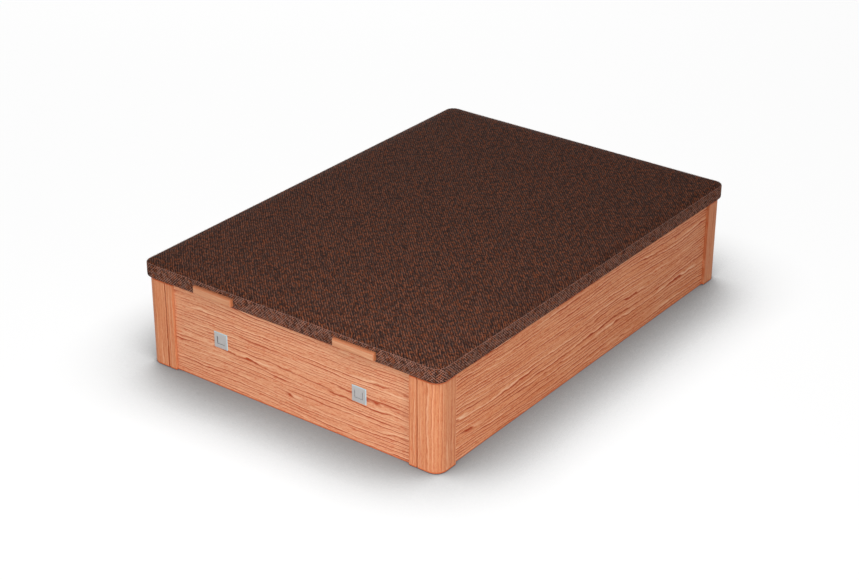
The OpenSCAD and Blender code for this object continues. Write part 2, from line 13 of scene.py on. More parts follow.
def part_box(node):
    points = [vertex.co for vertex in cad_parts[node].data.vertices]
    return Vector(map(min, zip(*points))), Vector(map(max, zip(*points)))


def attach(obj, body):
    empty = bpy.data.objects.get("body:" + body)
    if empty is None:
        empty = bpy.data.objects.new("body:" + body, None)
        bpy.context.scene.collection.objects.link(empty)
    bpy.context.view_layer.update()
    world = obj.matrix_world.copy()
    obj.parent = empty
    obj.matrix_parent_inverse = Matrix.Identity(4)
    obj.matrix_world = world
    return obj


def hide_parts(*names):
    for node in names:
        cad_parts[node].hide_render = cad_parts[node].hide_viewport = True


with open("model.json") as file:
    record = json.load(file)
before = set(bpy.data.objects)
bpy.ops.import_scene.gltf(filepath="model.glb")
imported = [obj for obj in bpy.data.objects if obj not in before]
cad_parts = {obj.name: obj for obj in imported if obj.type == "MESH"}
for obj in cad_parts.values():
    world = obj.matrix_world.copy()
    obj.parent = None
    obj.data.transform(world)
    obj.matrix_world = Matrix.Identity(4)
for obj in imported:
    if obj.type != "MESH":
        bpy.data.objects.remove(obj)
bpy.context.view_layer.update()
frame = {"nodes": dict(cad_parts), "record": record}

bl_info = {
    "name": "Lift-up bed base",
    "version": (1, 0, 0),
    "blender": (4, 5, 0),
    "location": "View3D > Sidebar > Bed base",
    "description": "Finishes a lift-up storage bed base around its packed parts",
    "category": "Object",
}

MM = 0.001
TINY = 1e-6
NEAR = 0.1 * MM  # planes of the CAD that lie this near each other are one
BODY_OF = {
    node: body for body, nodes in frame["record"]["behaviour"]["bodies"].items() for node in nodes}
X, Y, Z = 0, 1, 2
ENDS = ("foot", "head")
SIDES = ("left", "right")

# The planes that the lid's soft pieces follow.
COVER_LOW, COVER_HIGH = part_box("lid_cover")
FOAM_LOW, FOAM_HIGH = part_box("lid_foam")
DECK_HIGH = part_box("deck_board")[1]


# ---------- settings ----------


def hex_colour(name, description, default):
    """A property that holds an sRGB hex colour."""
    return StringProperty(name=name, description=description, default=default, maxlen=6)


def metres(name, description, default, low, high):
    """A property that holds a length in metres."""
    return FloatProperty(
        name=name, description=description, default=default, min=low, max=high, unit="LENGTH")


class BedBaseWood(bpy.types.PropertyGroup):
    panel_light: hex_colour("Panel light", "Light streaks of the panels", "DEA781")
    panel_base: hex_colour("Panel", "Ground colour of the panels", "CE8660")
    panel_line: hex_colour("Panel line", "Dark grain lines of the panels", "9E3008")
    # The side colours are the panel colours made darker and redder: painted shade on the side boards.
    side_light_shaded: hex_colour("Side light", "Light streaks of the side panels", "DFA177")
    side_base_shaded: hex_colour("Side", "Ground colour of the side panels", "C87244")
    pale_streak: hex_colour("Pale streak", "Palest streaks beside the lines", "EEC9A6")
    fleck: hex_colour("Fleck", "Short red flecks of the grain", "BC4418")
    post_light: hex_colour("Post light", "Light streaks of the posts", "D8966C")
    post_base: hex_colour("Post", "Ground colour of the posts", "C67C54")
    post_line: hex_colour("Post line", "Dark streaks of the posts", "B05A34")
    # The edging colour also fills the line where the edging laps onto the faces. That line is partly
    # painted light: painted shade under the lid's edge and a painted bright rim at the foot.
    band: hex_colour("Edge band", "Colour of the edging strip", "C9683E")
    handle_edge: hex_colour("Handle edge", "Edging of the handles", "BA7147")
    handle: hex_colour("Handle", "Ground colour of the handles", "C58963")
    line_pitch: metres("Line pitch", "Mean distance between grain lines", 0.0145, 0.004, 0.05)
    arris: metres("Arris", "Rounding of the boards' upright edges", 0.001, 0.0002, 0.003)
    band_arris: metres("Band arris", "Rounding of the edging strips", 0.0022, 0.0005, 0.004)
    band_lap_and_painted_line: metres("Band lap", "How far the edging laps over the faces", 0.005, 0.001, 0.01)


class BedBaseLid(bpy.types.PropertyGroup):
    yarn: hex_colour("Yarn", "Main colour of the cover's yarn", "4E3125")
    rust_yarn: hex_colour("Rust yarn", "Second yarn", "914D2D")
    pale_yarn: hex_colour("Pale yarn", "Light yarn", "A0786A")
    # The hole colour is painted shade: the dark in the depth of the mesh's holes, and on stretches of
    # thread that lie deep.
    mesh_hole_shade: hex_colour("Mesh hole", "Depth of the mesh's holes", "150F10")
    cloth: hex_colour("Under cloth", "Cloth under the lid", "2B2826")
    cover_thickness: metres("Cover thickness", "Thickness of the spacer mesh", 0.0025, 0.001, 0.004)
    hem_thickness: metres("Hem thickness", "Thickness of the hem under the lid", 0.0009, 0.0005, 0.001)
    crown: metres("Crown", "How far the lid's top may swell above its edges", 0.0045, 0.0, 0.01)
    weave_pitch: metres("Weave pitch", "Distance between threads of the top", 0.0084, 0.003, 0.02)
    border_pitch: metres("Border pitch", "Distance between threads of the sides", 0.0072, 0.003, 0.02)
    side_bulge: metres("Side bulge", "How far the lid's sides may swell", 0.0014, 0.0, 0.003)
    stitch_pitch: metres("Stitch pitch", "Length of one stitch", 0.008, 0.003, 0.02)


class BedBaseMetal(bpy.types.PropertyGroup):
    zinc: hex_colour("Zinc", "Zinc-plated steel", "C3C6C8")
    aluminium: hex_colour("Aluminium", "Vents", "B0AEAD")
    tube_paint: hex_colour("Tube paint", "Powder coat of the lid's frame", "26262A")
    arris: metres("Arris", "Rounding of pressed edges", 0.0004, 0.0001, 0.001)
    seed: IntProperty(name="Seed", description="Turns the screws' recesses", default=7, min=0)


class BedBaseStage(bpy.types.PropertyGroup):
    eye: FloatVectorProperty(
        name="Eye", description="Where the camera stands", default=(3.8904, -5.3062, 3.4918),
        subtype="XYZ")
    heading: FloatProperty(
        name="Heading", description="Camera's turn about Z", default=math.radians(36.80), subtype="ANGLE")
    pitch: FloatProperty(
        name="Pitch", description="Camera's tilt below the horizon", default=math.radians(27.16),
        subtype="ANGLE")
    roll: FloatProperty(
        name="Roll", description="Camera's roll", default=0.003, subtype="ANGLE")
    lens: FloatProperty(name="Lens", description="Focal length in mm", default=80.21, min=20, max=200)
    sky: FloatProperty(name="Sky", description="Light from all round", default=0.14, min=0, max=2)
    key: FloatProperty(name="Key", description="Watts of the lamp over the head end", default=43, min=0)
    front: FloatProperty(name="Front", description="Watts of the low lamp at the foot", default=201, min=0)
    side: FloatProperty(name="Side", description="Watts of the low lamp on the right", default=188, min=0)
    back: FloatProperty(name="Back", description="Watts of the low lamp behind the bed", default=190, min=0)
    top: FloatProperty(name="Top", description="Watts of the lamp over the foot end", default=31, min=0)


# ---------- nodes ----------


def linear(colour):
    """An sRGB hex colour as the linear RGBA that Blender mixes."""
    channels = [int(colour[i:i + 2], 16) / 255 for i in (0, 2, 4)]
    return (*[c / 12.92 if c <= 0.04045 else ((c + 0.055) / 1.055) ** 2.4 for c in channels], 1.0)


def fill(tree, node, inputs):
    """Sets a node's inputs, each to a value or by a link from another node's output."""
    for key, value in inputs.items():
        if isinstance(value, bpy.types.NodeSocket):
            tree.links.new(value, node.inputs[key])
        else:
            node.inputs[key].default_value = value


def add(tree, kind, inputs=None, output=0, stops=(), **settings):
    """Adds a node and gives one of its outputs, or all for None. Stops fill a colour ramp."""
    node = tree.nodes.new(kind)
    for name, value in settings.items():
        setattr(node, name, value)
    fill(tree, node, inputs or {})
    while stops and len(node.color_ramp.elements) < len(stops):
        node.color_ramp.elements.new(0.5)
    for place, (position, colour) in enumerate(stops):
        element = node.color_ramp.elements[place]
        element.position = position
        element.color = linear(colour) if isinstance(colour, str) else (colour, colour, colour, 1.0)
    return node.outputs if output is None else node.outputs[output]


def new_material(name):
    """An empty material: its tree and its Principled shader."""
    material = bpy.data.materials.new(name)
    material.use_nodes = True
    tree = material.node_tree
    return material, tree, tree.nodes["Principled BSDF"]


def faded(tree, share, *patterns):
    """A share that each (pattern, low, high) fades: to nothing at low, and not at all from high."""
    for pattern, low, high in patterns:
        share = add(tree, "ShaderNodeMapRange", {
            "Value": pattern, "From Min": low, "From Max": high, "To Max": share})
    return share


def painted(tree, ground, colour, share, *patterns):
    """The ground with a share of a colour over it, faded by patterns."""
    return add(tree, "ShaderNodeMix", {
        "Factor": faded(tree, share, *patterns), "A": ground, "B": linear(colour)}, "Result",
        data_type="RGBA")


def stretched_noise(tree, place, along, across, detail=1.0, rough=0.5, seed=0.0):
    """Noise with that many features per metre along and across the place's first axis."""
    placed = add(tree, "ShaderNodeMapping", {
        0: place, "Location": (seed, seed * 0.7, seed), "Scale": (along, across, 1.0)})
    return add(tree, "ShaderNodeTexNoise", {
        "Vector": placed, "Scale": 1.0, "Detail": detail, "Roughness": rough})


def object_noise(tree, scale, detail, stretch=(1.0, 1.0, 1.0)):
    """Noise with that many features per metre of the object, times the stretch of each axis."""
    coords = add(tree, "ShaderNodeTexCoord", output="Object")
    placed = add(tree, "ShaderNodeMapping", {0: coords, "Scale": stretch})
    return add(tree, "ShaderNodeTexNoise", {"Vector": placed, "Scale": scale, "Detail": detail})


def surfaced(tree, bsdf, pattern, stops, strength, depth, sockets):
    """Colour and relief that follow one pattern, and the shader's other sockets."""
    relief = {"Height": pattern, "Strength": strength, "Distance": depth}
    fill(tree, bsdf, {
        "Base Color": add(tree, "ShaderNodeValToRGB", {0: pattern}, stops=stops),
        "Normal": add(tree, "ShaderNodeBump", relief), **sockets})


# ---------- materials ----------


@cache
def cherry_foil(name, light, base, line, waves, line_share, fleck_share):
    """Pressed foil printed with a cherry grain: satin, lines along the UV's u, red flecks."""
    wood = bpy.context.scene.bedbase_wood
    material, tree, bsdf = new_material(name)
    grain = add(tree, "ShaderNodeUVMap", uv_map="grain")

    def noise(*settings):
        return stretched_noise(tree, grain, *settings)

    # Rings: the distance across the grain, bent by slow waves, so that lines run together,
    # part and close into long loops as on a flat-sawn board. The second noise spaces them
    # unevenly and the third makes them waver.
    v = add(tree, "ShaderNodeSeparateXYZ", {0: grain}, 1)
    ring = add(tree, "ShaderNodeMath", {0: v, 1: wood.line_pitch}, operation="DIVIDE")
    for bend, reach in (
            (noise(1.1, 6.0, 1.0, 0.5, 3.1), waves), (noise(0.9, 34.0, 1.0, 0.5, 6.6), 2.1),
            (noise(14.0, 30.0, 2.0, 0.5, 8.4), 0.8)):
        ring = add(tree, "ShaderNodeMath", {0: bend, 1: reach, 2: ring}, operation="MULTIPLY_ADD")
    ring = add(tree, "ShaderNodeMath", {0: ring}, operation="FRACT")
    fibre = faded(tree, 1.0, (noise(18.0, 620.0, 2.0, 0.6, 11.8), 0.36, 0.64))
    # A dark red line ends each ring and a pale streak starts the next. Both fade in and out.
    end = add(tree, "ShaderNodeValToRGB", {0: ring}, stops=[
        (0.0, 0.8), (0.05, 0.0), (0.76, 0.0), (0.88, 1.0), (1.0, 1.0)])
    dark = faded(tree, line_share, (end, 0.0, 1.0), (noise(3.5, 45.0, 3.0, 0.6, 1.7), 0.35, 0.53),
                 (fibre, -0.9, 0.5))
    start = add(tree, "ShaderNodeValToRGB", {0: ring}, stops=[(0.05, 0.0), (0.16, 1.0), (0.34, 0.0)])
    pale = faded(tree, 0.9 * line_share, (start, 0.0, 1.0), (noise(3.0, 50.0, 2.0, 0.5, 4.9), 0.38, 0.56),
                 (fibre, -0.5, 0.8))
    # Ground: slow changes of tone, streaks about 8 mm apart and a mottle of short fibres.
    tone = noise(1.6, 12.0, 2.0, 0.5, 9.2), 0.32, 0.68
    streak = noise(9.0, 125.0, 2.0, 0.6, 5.5), 0.38, 0.62
    mottle = noise(110.0, 300.0, 2.0, 0.75, 7.3), 0.40, 0.60
    # Red flecks up to about 20 x 3 mm, coarser than real pores so that they show from here.
    fleck = noise(42.0, 310.0, 2.0, 0.6, 2.2), 0.54, 0.66
    colour = painted(tree, linear(base), line, 0.22, tone)
    colour = painted(tree, colour, light, 0.55, streak)
    colour = painted(tree, colour, light, 0.7 * fleck_share, mottle)
    colour = painted(tree, colour, wood.fleck, 0.62 * fleck_share, fleck)
    colour = painted(tree, colour, wood.pale_streak, pale)
    colour = painted(tree, colour, base, 0.2, (fibre, 0.0, 1.0))
    colour = painted(tree, colour, line, dark)
    height = add(tree, "ShaderNodeMath", {0: faded(tree, 1.0, streak), 1: dark}, operation="SUBTRACT")
    bump = add(tree, "ShaderNodeBump", {"Height": height, "Strength": 0.06, "Distance": 0.0002})
    fill(tree, bsdf, {"Base Color": colour, "Roughness": 0.5, "Normal": bump, "Specular IOR Level": 0.1})
    return material


def panel_foil():
    """The foil of the foot and head boards, with the grain along them."""
    wood = bpy.context.scene.bedbase_wood
    return cherry_foil("Cherry grain foil", wood.panel_light, wood.panel_base, wood.panel_line,
                       waves=6.0, line_share=0.95, fleck_share=1.0)


def shaded_side_foil():
    """The side boards take a darker, redder copy of the same foil: painted shade on the sides."""
    wood = bpy.context.scene.bedbase_wood
    return cherry_foil("Cherry grain foil shaded", wood.side_light_shaded, wood.side_base_shaded, wood.panel_line,
                       waves=6.0, line_share=1.1, fleck_share=1.0)


def post_foil():
    """The foil of posts and stiles: straighter grain with weaker lines and fewer flecks."""
    wood = bpy.context.scene.bedbase_wood
    return cherry_foil("Cherry grain foil upright", wood.post_light, wood.post_base, wood.post_line,
                       waves=1.5, line_share=0.6, fleck_share=0.65)


@cache
def edge_band_and_painted_line():
    """PVC edging strip, moulded plain: one warm orange with a soft shine on its rounding. Where it laps
    onto the faces it also draws a line that is partly painted light: shade under the lid's edge and a
    bright rim at the foot.
    """
    material, tree, bsdf = new_material("Edging strip and painted edge line")
    stops = [(0.3, bpy.context.scene.bedbase_wood.band), (0.7, "C26238")]
    colour = add(tree, "ShaderNodeValToRGB", {0: object_noise(tree, 220.0, 2.0)}, stops=stops)
    fill(tree, bsdf, {"Base Color": colour, "Roughness": 0.45, "Specular IOR Level": 0.2})
    return material


@cache
def plain(name, low, high, scale, roughness, metallic, depth, stretch=(1.0, 1.0, 1.0)):
    """One finish that varies between two close colours, with relief of the same pattern."""
    material, tree, bsdf = new_material(name)
    pattern = object_noise(tree, scale, 3.0, stretch)
    gloss = add(tree, "ShaderNodeMapRange", {
        "Value": pattern, "To Min": roughness - 0.07, "To Max": roughness + 0.07})
    surfaced(tree, bsdf, pattern, [(0.3, low), (0.7, high)], 0.4, depth, {
        "Roughness": gloss, "Metallic": metallic})
    return material


def zinc_steel():
    """Pressed steel, zinc plated: pale grey with faint spangle."""
    zinc = bpy.context.scene.bedbase_metal.zinc
    return plain("Zinc-plated steel", "B4B7B9", zinc, 90.0, 0.36, 1.0, 0.00002)


def tube_paint():
    """Powder coat on steel tube: near black with a fine orange peel."""
    paint = bpy.context.scene.bedbase_metal.tube_paint
    return plain("Powder coat", "1F1F22", paint, 900.0, 0.48, 0.0, 0.00006)


def softwood():
    """Sawn pine battens: pale, with grain lines that run level."""
    return plain("Sawn softwood", "C9A06A", "DEBD8C", 30.0, 0.7, 0.0, 0.0003, (0.4, 0.4, 8.0))


def fibreboard():
    """Raw fibreboard: even brown fibres a few millimetres long."""
    return plain("Fibreboard", "A9865C", "BE9B70", 350.0, 0.8, 0.0, 0.0002)


def black_plastic():
    """Moulded polypropylene: matt black."""
    return plain("Moulded plastic", "1A1A1B", "232324", 500.0, 0.5, 0.0, 0.00005)


def rubber():
    """Moulded rubber: dull near-black."""
    return plain("Moulded rubber", "161616", "202020", 400.0, 0.75, 0.0, 0.00008)


def cylinder_paint():
    """Stoved gloss paint on the gas cylinder."""
    return plain("Stoved paint", "121214", "19191B", 60.0, 0.22, 0.0, 0.00001)


def chrome():
    """Ground and plated piston rod: bright and nearly even."""
    return plain("Ground chrome", "C9CACC", "D6D7D9", 60.0, 0.14, 1.0, 0.000005)


def thread(name, low, high):
    """Polyester sewing thread, with a slight shine."""
    return plain(name, low, high, 800.0, 0.5, 0.0, 0.00005)


def rim_highlight_aluminium():
    """The chamfer round each vent's front rim: brighter than the face, with a blue cast, a painted
    highlight.
    """
    return plain("Aluminium painted rim highlight", "A6C8D4", "B4D2DC", 900.0, 0.35, 0.3, 0.00002)


@cache
def brushed_aluminium():
    """Brushed and anodised aluminium: satin grey, scratch lines up and down."""
    material, tree, bsdf = new_material("Brushed aluminium")
    brush = object_noise(tree, 1.0, 1.0, (2600.0, 2600.0, 60.0))
    fill(tree, bsdf, {
        "Base Color": linear(bpy.context.scene.bedbase_metal.aluminium), "Metallic": 0.55,
        "Roughness": add(tree, "ShaderNodeMapRange", {"Value": brush, "To Min": 0.38, "To Max": 0.55}),
        "Normal": add(tree, "ShaderNodeBump", {"Height": brush, "Strength": 0.2, "Distance": 0.00003})})
    return material


def handle_edging():
    """Stained and lacquered end grain: a deeper tone, matt."""
    return plain("Stained edge grain", bpy.context.scene.bedbase_wood.handle_edge, "B46A42",
                 220.0, 0.45, 0.0, 0.00002)


@cache
def handle_wood():
    """Lacquered beech-like hardwood: warm orange-pink, fine streaks along it, a satin shine."""
    material, tree, bsdf = new_material("Lacquered hardwood")
    wood = bpy.context.scene.bedbase_wood
    stops = [(0.30, "B8744C"), (0.52, wood.handle), (0.75, "D8A57F")]
    surfaced(tree, bsdf, object_noise(tree, 1.0, 3.0, (12.0, 500.0, 500.0)), stops, 0.1, 0.0002, {
        "Roughness": 0.4, "Specular IOR Level": 0.3})
    return material


@cache
def foam():
    """Open-cell polyurethane foam: pale yellow with pores about 1 mm wide."""
    material, tree, bsdf = new_material("Polyurethane foam")
    coords = add(tree, "ShaderNodeTexCoord", output="Object")
    pores = add(tree, "ShaderNodeTexVoronoi", {"Vector": coords, "Scale": 900.0})
    surfaced(tree, bsdf, pores, [(0.1, "D9CF9E"), (0.6, "F0E9C4")], 0.5, 0.0004, {"Roughness": 0.95})
    return material


@cache
def spunbond():
    """Spunbonded polypropylene: thin dark cloth with small pressed dots."""
    material, tree, bsdf = new_material("Spunbonded cloth")
    coords = add(tree, "ShaderNodeTexCoord", output="Object")
    # The dots are 3 mm apart, about twice the real distance, so that they show.
    dots = add(tree, "ShaderNodeTexVoronoi", {"Vector": coords, "Scale": 330.0, "Randomness": 0.1})
    stops = [(0.3, "221F1E"), (0.7, bpy.context.scene.bedbase_lid.cloth)]
    fill(tree, bsdf, {
        "Base Color": add(tree, "ShaderNodeValToRGB", {0: object_noise(tree, 60.0, 5.0)}, stops=stops),
        "Normal": add(tree, "ShaderNodeBump", {"Height": dots, "Strength": 0.5, "Distance": 0.0002}),
        "Roughness": 0.85, "Sheen Weight": 0.2})
    return material


@cache
def woven_cover(name, pitch, wander, cross_share, pale_share, hole_shade_share):
    """Open-weave spacer mesh: brown, rust and pale threads cross on the slant over holes painted dark, as
    painted shade in the mesh's depth.
    """
    lid = bpy.context.scene.bedbase_lid
    material, tree, bsdf = new_material(name)
    weave = add(tree, "ShaderNodeUVMap", uv_map="weave")
    # The threads wander by a few millimetres.
    drift = add(tree, "ShaderNodeTexNoise", {"Vector": weave, "Scale": 45.0, "Detail": 1.0}, "Color")
    centred = add(tree, "ShaderNodeVectorMath", {0: drift, 1: (0.5, 0.5, 0.5)}, operation="SUBTRACT")
    bent = add(tree, "ShaderNodeVectorMath", {
        0: centred, 1: (wander, wander, 0.0), 2: weave}, operation="MULTIPLY_ADD")
    turned = add(tree, "ShaderNodeMapping", {0: bent, "Rotation": (0, 0, math.radians(45))})
    p_q = add(tree, "ShaderNodeSeparateXYZ", {0: turned}, None)

    def threads(across, share):
        """A share along the middle of each thread of one direction, and 0 between them."""
        turn = add(tree, "ShaderNodeMath", {0: across, 1: math.tau / pitch}, operation="MULTIPLY")
        return faded(tree, share, (add(tree, "ShaderNodeMath", {0: turn}, operation="COSINE"), -1.0, 1.0))

    def stretches(along, across, seed):
        """Marks off stretches of thread, by their number in a pitch along and across it."""
        return stretched_noise(tree, turned, along / pitch, across / pitch, 0.0, 0.5, seed)

    crossing = threads(p_q[0], cross_share)
    main = threads(p_q[1], 1.0)
    height = add(tree, "ShaderNodeMath", {0: crossing, 1: main}, operation="MAXIMUM")
    pale = add(tree, "ShaderNodeMath", {
        0: faded(tree, pale_share, (main, 0.5, 0.9), (stretches(0.5, 0.9, 7.7), 0.40, 0.60)),
        1: faded(tree, pale_share, (crossing, 0.5, 0.9), (stretches(0.9, 0.5, 1.3), 0.40, 0.60)),
    }, operation="MAXIMUM")
    colour = painted(tree, linear(lid.yarn), lid.rust_yarn, 0.8, (stretches(0.5, 1.0, 4.1), 0.44, 0.58))
    # Stretches of thread that lie deep take the holes' painted shade.
    colour = painted(tree, colour, lid.mesh_hole_shade, 0.55, (stretches(0.5, 1.0, 9.5), 0.48, 0.60))
    colour = painted(tree, colour, lid.pale_yarn, pale)
    # The holes between the threads are painted dark: painted shade in the depth of the mesh.
    colour = painted(tree, colour, lid.mesh_hole_shade, hole_shade_share, (height, 0.75, 0.35))
    bump = add(tree, "ShaderNodeBump", {"Height": height, "Strength": 0.6, "Distance": 0.0008})
    fill(tree, bsdf, {"Base Color": colour, "Roughness": 0.95, "Normal": bump, "Specular IOR Level": 0.1})
    return material


# ---------- meshes ----------


def merged(node):
    """A copy of a CAD node with its loose triangles joined into whole faces."""
    bm = bmesh.new()
    bm.from_mesh(frame["nodes"][node].data)
    bmesh.ops.remove_doubles(bm, verts=bm.verts, dist=TINY)
    bmesh.ops.dissolve_limit(bm, angle_limit=math.radians(0.5), verts=bm.verts, edges=bm.edges)
    return bm


def solids(node):
    """The separate solids of a CAD node: the points, lowest corner and highest corner of each."""
    bm = merged(node)
    left = set(bm.verts)
    found = []
    for start in bm.verts:
        if start not in left:
            continue
        left.remove(start)
        solid = [start]
        for vert in solid:
            for other in (edge.other_vert(vert) for edge in vert.link_edges):
                if other in left:
                    left.remove(other)
                    solid.append(other)
        points = [v.co.copy() for v in solid]
        low, high = (Vector([pick(p[i] for p in points) for i in (X, Y, Z)]) for pick in (min, max))
        found.append((points, low, high))
    bm.free()
    return found


def round_edges(bm, width, chosen=lambda edge: True, material=-1, segments=2):
    """Rounds the sharp edges that chosen picks."""
    sharp = [
        e for e in bm.edges
        if len(e.link_faces) == 2 and e.calc_face_angle() > math.radians(35) and chosen(e)
    ]
    bmesh.ops.bevel(bm, geom=sharp, offset=width, segments=segments, profile=0.5,
                    affect="EDGES", clamp_overlap=True, material=material)


def new_object(name, bm, materials):
    """An object in the scene, smooth all over, from a bmesh."""
    mesh = bpy.data.meshes.new(name)
    bm.to_mesh(mesh)
    bm.free()
    mesh.shade_smooth()
    for material in materials:
        mesh.materials.append(material)
    obj = bpy.data.objects.new(name, mesh)
    bpy.context.scene.collection.objects.link(obj)
    return obj


def ride_as(obj, node):
    """The object moves with a CAD node's body."""
    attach(obj, BODY_OF[node])


def make_piece(name, bm, materials, node):
    """Turns a bmesh into a hard piece that rides with a CAD node's body and stands for it."""
    obj = new_object(name, bm, materials)
    normals = obj.data.attributes.get("custom_normal")
    if normals:
        obj.data.attributes.remove(normals)
    obj.data.set_sharp_from_angle(angle=math.radians(38))
    obj.modifiers.new("Weighted normals", "WEIGHTED_NORMAL").keep_sharp = True
    ride_as(obj, node)
    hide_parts(node)


SIDESTEP = 0.37  # how far a stretch of foil lies to the side, for each metre that it lies further on


def grain_uv(bm, axis, across=None, shift=0.0):
    """Lays the UVs along the grain axis, in metres. across(point) follows a rounded face."""
    layer = bm.loops.layers.uv.new("grain")
    bm.normal_update()
    for face in bm.faces:
        facing = max((X, Y, Z), key=lambda i: abs(face.normal[i]))
        others = [i for i in (X, Y, Z) if i not in (axis, facing)]
        for loop in face.loops:
            co = loop.vert.co
            v = across(co) if across and facing != axis else co[others[0]]
            loop[layer].uv = (co[axis] + shift, v + SIDESTEP * shift)


def rounded_copies(nodes, finish, arris, word):
    """Copies of CAD nodes with rounded edges and one finish, a piece for each node."""
    for node in nodes:
        bm = merged(node)
        round_edges(bm, arris)
        make_piece(f"{node}_{word}", bm, [finish], node)


def add_box(bm, low, high):
    """Adds a closed box between two corners."""
    made = bmesh.ops.create_cube(bm, size=1.0)["verts"]
    bmesh.ops.scale(bm, vec=[b - a for a, b in zip(low, high)], verts=made)
    bmesh.ops.translate(bm, vec=[(a + b) / 2 for a, b in zip(low, high)], verts=made)


def wood_piece(node, axis, foil, shift, across=None, tongue=None, drop=0.0):
    """A foil-wrapped board with edging round its top and bottom, and a tongue between two corners.

    Its underside reaches lower than in the CAD by drop."""
    wood = bpy.context.scene.bedbase_wood
    low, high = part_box(node)
    bm = merged(node)
    for vert in bm.verts:
        vert.co.z -= drop * (vert.co.z < low.z + NEAR)

    def at_rim(edge):
        return all(abs(vert.co.z - high.z) < TINY for vert in edge.verts)

    round_edges(bm, wood.band_arris, at_rim, segments=3)
    round_edges(bm, wood.arris)
    # The edging laps over the faces, which draws a thin orange line along them. The line is partly painted
    # light: just below the lid's edge it is painted shade from the lid, and along the foot it is a painted
    # bright rim against the floor's shadow.
    band_and_line_low, band_and_line_high = low.z - drop + wood.band_lap_and_painted_line, high.z - wood.band_lap_and_painted_line
    for z in (band_and_line_low, band_and_line_high):
        bmesh.ops.bisect_plane(bm, geom=[*bm.verts, *bm.edges, *bm.faces], dist=TINY,
                               plane_co=(0, 0, z), plane_no=(0, 0, 1))
    for face in bm.faces:
        face.material_index = int(not band_and_line_low < face.calc_center_median().z < band_and_line_high)
    if tongue:
        add_box(bm, *tongue)
    grain_uv(bm, axis, across, shift)
    make_piece(f"{node}_board", bm, [foil, edge_band_and_painted_line()], node)


# ---------- operators ----------


class BEDBASE_OT_panels(bpy.types.Operator):
    """Wraps the four panels in printed foil with orange edging"""

    bl_idname = "bedbase.panels"
    bl_label = "Panels"

    def execute(self, context):
        # The panels reach lower than in the CAD, to within a millimetre of the floor. Each takes
        # its own stretch of the foil.
        drop, stretch = 2.0 * MM, 2.3
        for number, end in enumerate(ENDS):
            wood_piece(f"{end}_panel", X, panel_foil(), stretch * number, drop=drop)
        for number, side in enumerate(SIDES, len(ENDS)):
            wood_piece(f"{side}_panel", Y, shaded_side_foil(), stretch * number, drop=drop)
        return {"FINISHED"}


def post_wrap(node):
    """Distance round a post's outside, from one leg over the rounded corner to the other."""
    low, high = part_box(node)
    side = 1 if high.x > 0 else -1
    end = 1 if high.y > 0 else -1
    corner = Vector((high.x if side > 0 else low.x, high.y if end > 0 else low.y))
    # The rounding starts where the outer faces leave the post's box, within 60 mm of its corner.
    radius = max(
        abs(corner.x - v.co.x) for v in frame["nodes"][node].data.vertices
        if TINY < abs(v.co.y - corner.y) < 1.0 * MM and abs(corner.x - v.co.x) < 60.0 * MM)

    def across(co):
        px = (co.x - corner.x) * side + radius
        py = (co.y - corner.y) * end + radius
        if px <= 0:
            return px
        if py <= 0:
            return radius * math.pi / 2 - py
        return radius * math.atan2(px, py)

    return across


def groove_tongue(stile, post):
    """Corners of the tongue that fills the back of the groove between a stile and its post."""
    low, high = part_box(stile)
    post_low, post_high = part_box(post)
    play, bite, depth = 0.2 * MM, 1.0 * MM, 3.8 * MM
    if high.x > 0:
        x = high.x - bite, post_low.x - play
    else:
        x = post_high.x + play, low.x + bite
    y = (low.y, high.y - depth) if high.y > 0 else (low.y + depth, high.y)
    return Vector((x[0], y[0], low.z + play)), Vector((x[1], y[1], high.z - play))


class BEDBASE_OT_posts(bpy.types.Operator):
    """Wraps the corner posts and stile strips in foil with upright grain"""

    bl_idname = "bedbase.posts"
    bl_label = "Posts and stiles"

    def execute(self, context):
        # Each takes its own stretch of the foil, which starts further on for the stiles.
        post_step, stile_step, stile_start = 1.7, 1.1, 0.6
        for number, (end, side) in enumerate((end, side) for end in ENDS for side in SIDES):
            post = f"post_{end}_{side}"
            stile = f"stile_{end}_{side}"
            wood_piece(post, Z, post_foil(), post_step * number, post_wrap(post))
            wood_piece(stile, Z, post_foil(), stile_start + stile_step * number,
                       tongue=groove_tongue(stile, post))
        return {"FINISHED"}


class BEDBASE_OT_vents(bpy.types.Operator):
    """Finishes the two vents and their sunk plates"""

    bl_idname = "bedbase.vents"
    bl_label = "Vents"

    def execute(self, context):
        # The outer wall of each window stands in, and the sprung plates rest nearly flush, so
        # that the slots beside the plates read as fine lines.
        window_wall, moved_in = 337.0 * MM, 2.5 * MM
        plates_forward, chamfer, arris = 2.6 * MM, 2.2 * MM, 0.4 * MM
        for name, side in (("vent_frame_left", -1), ("vent_frame_right", 1)):
            bm = merged(name)
            for vert in bm.verts:
                if abs(side * vert.co.x - window_wall) < NEAR:
                    vert.co.x -= side * moved_in
            low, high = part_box(name)

            def at_front_rim(edge):
                return all(
                    co.y < low.y + NEAR
                    and min(co.x - low.x, high.x - co.x, co.z - low.z, high.z - co.z) < NEAR
                    for co in (vert.co for vert in edge.verts))

            # The chamfers round the windows' front rims take the painted highlight.
            round_edges(bm, chamfer, at_front_rim, material=1, segments=1)
            round_edges(bm, arris)
            make_piece(f"{name}_aluminium", bm, [brushed_aluminium(), rim_highlight_aluminium()], name)
        bm = merged("vent_plates")
        bmesh.ops.translate(bm, vec=(0, -plates_forward, 0), verts=bm.verts)
        round_edges(bm, arris)
        make_piece("vent_plates_aluminium", bm, [brushed_aluminium()], "vent_plates")
        return {"FINISHED"}


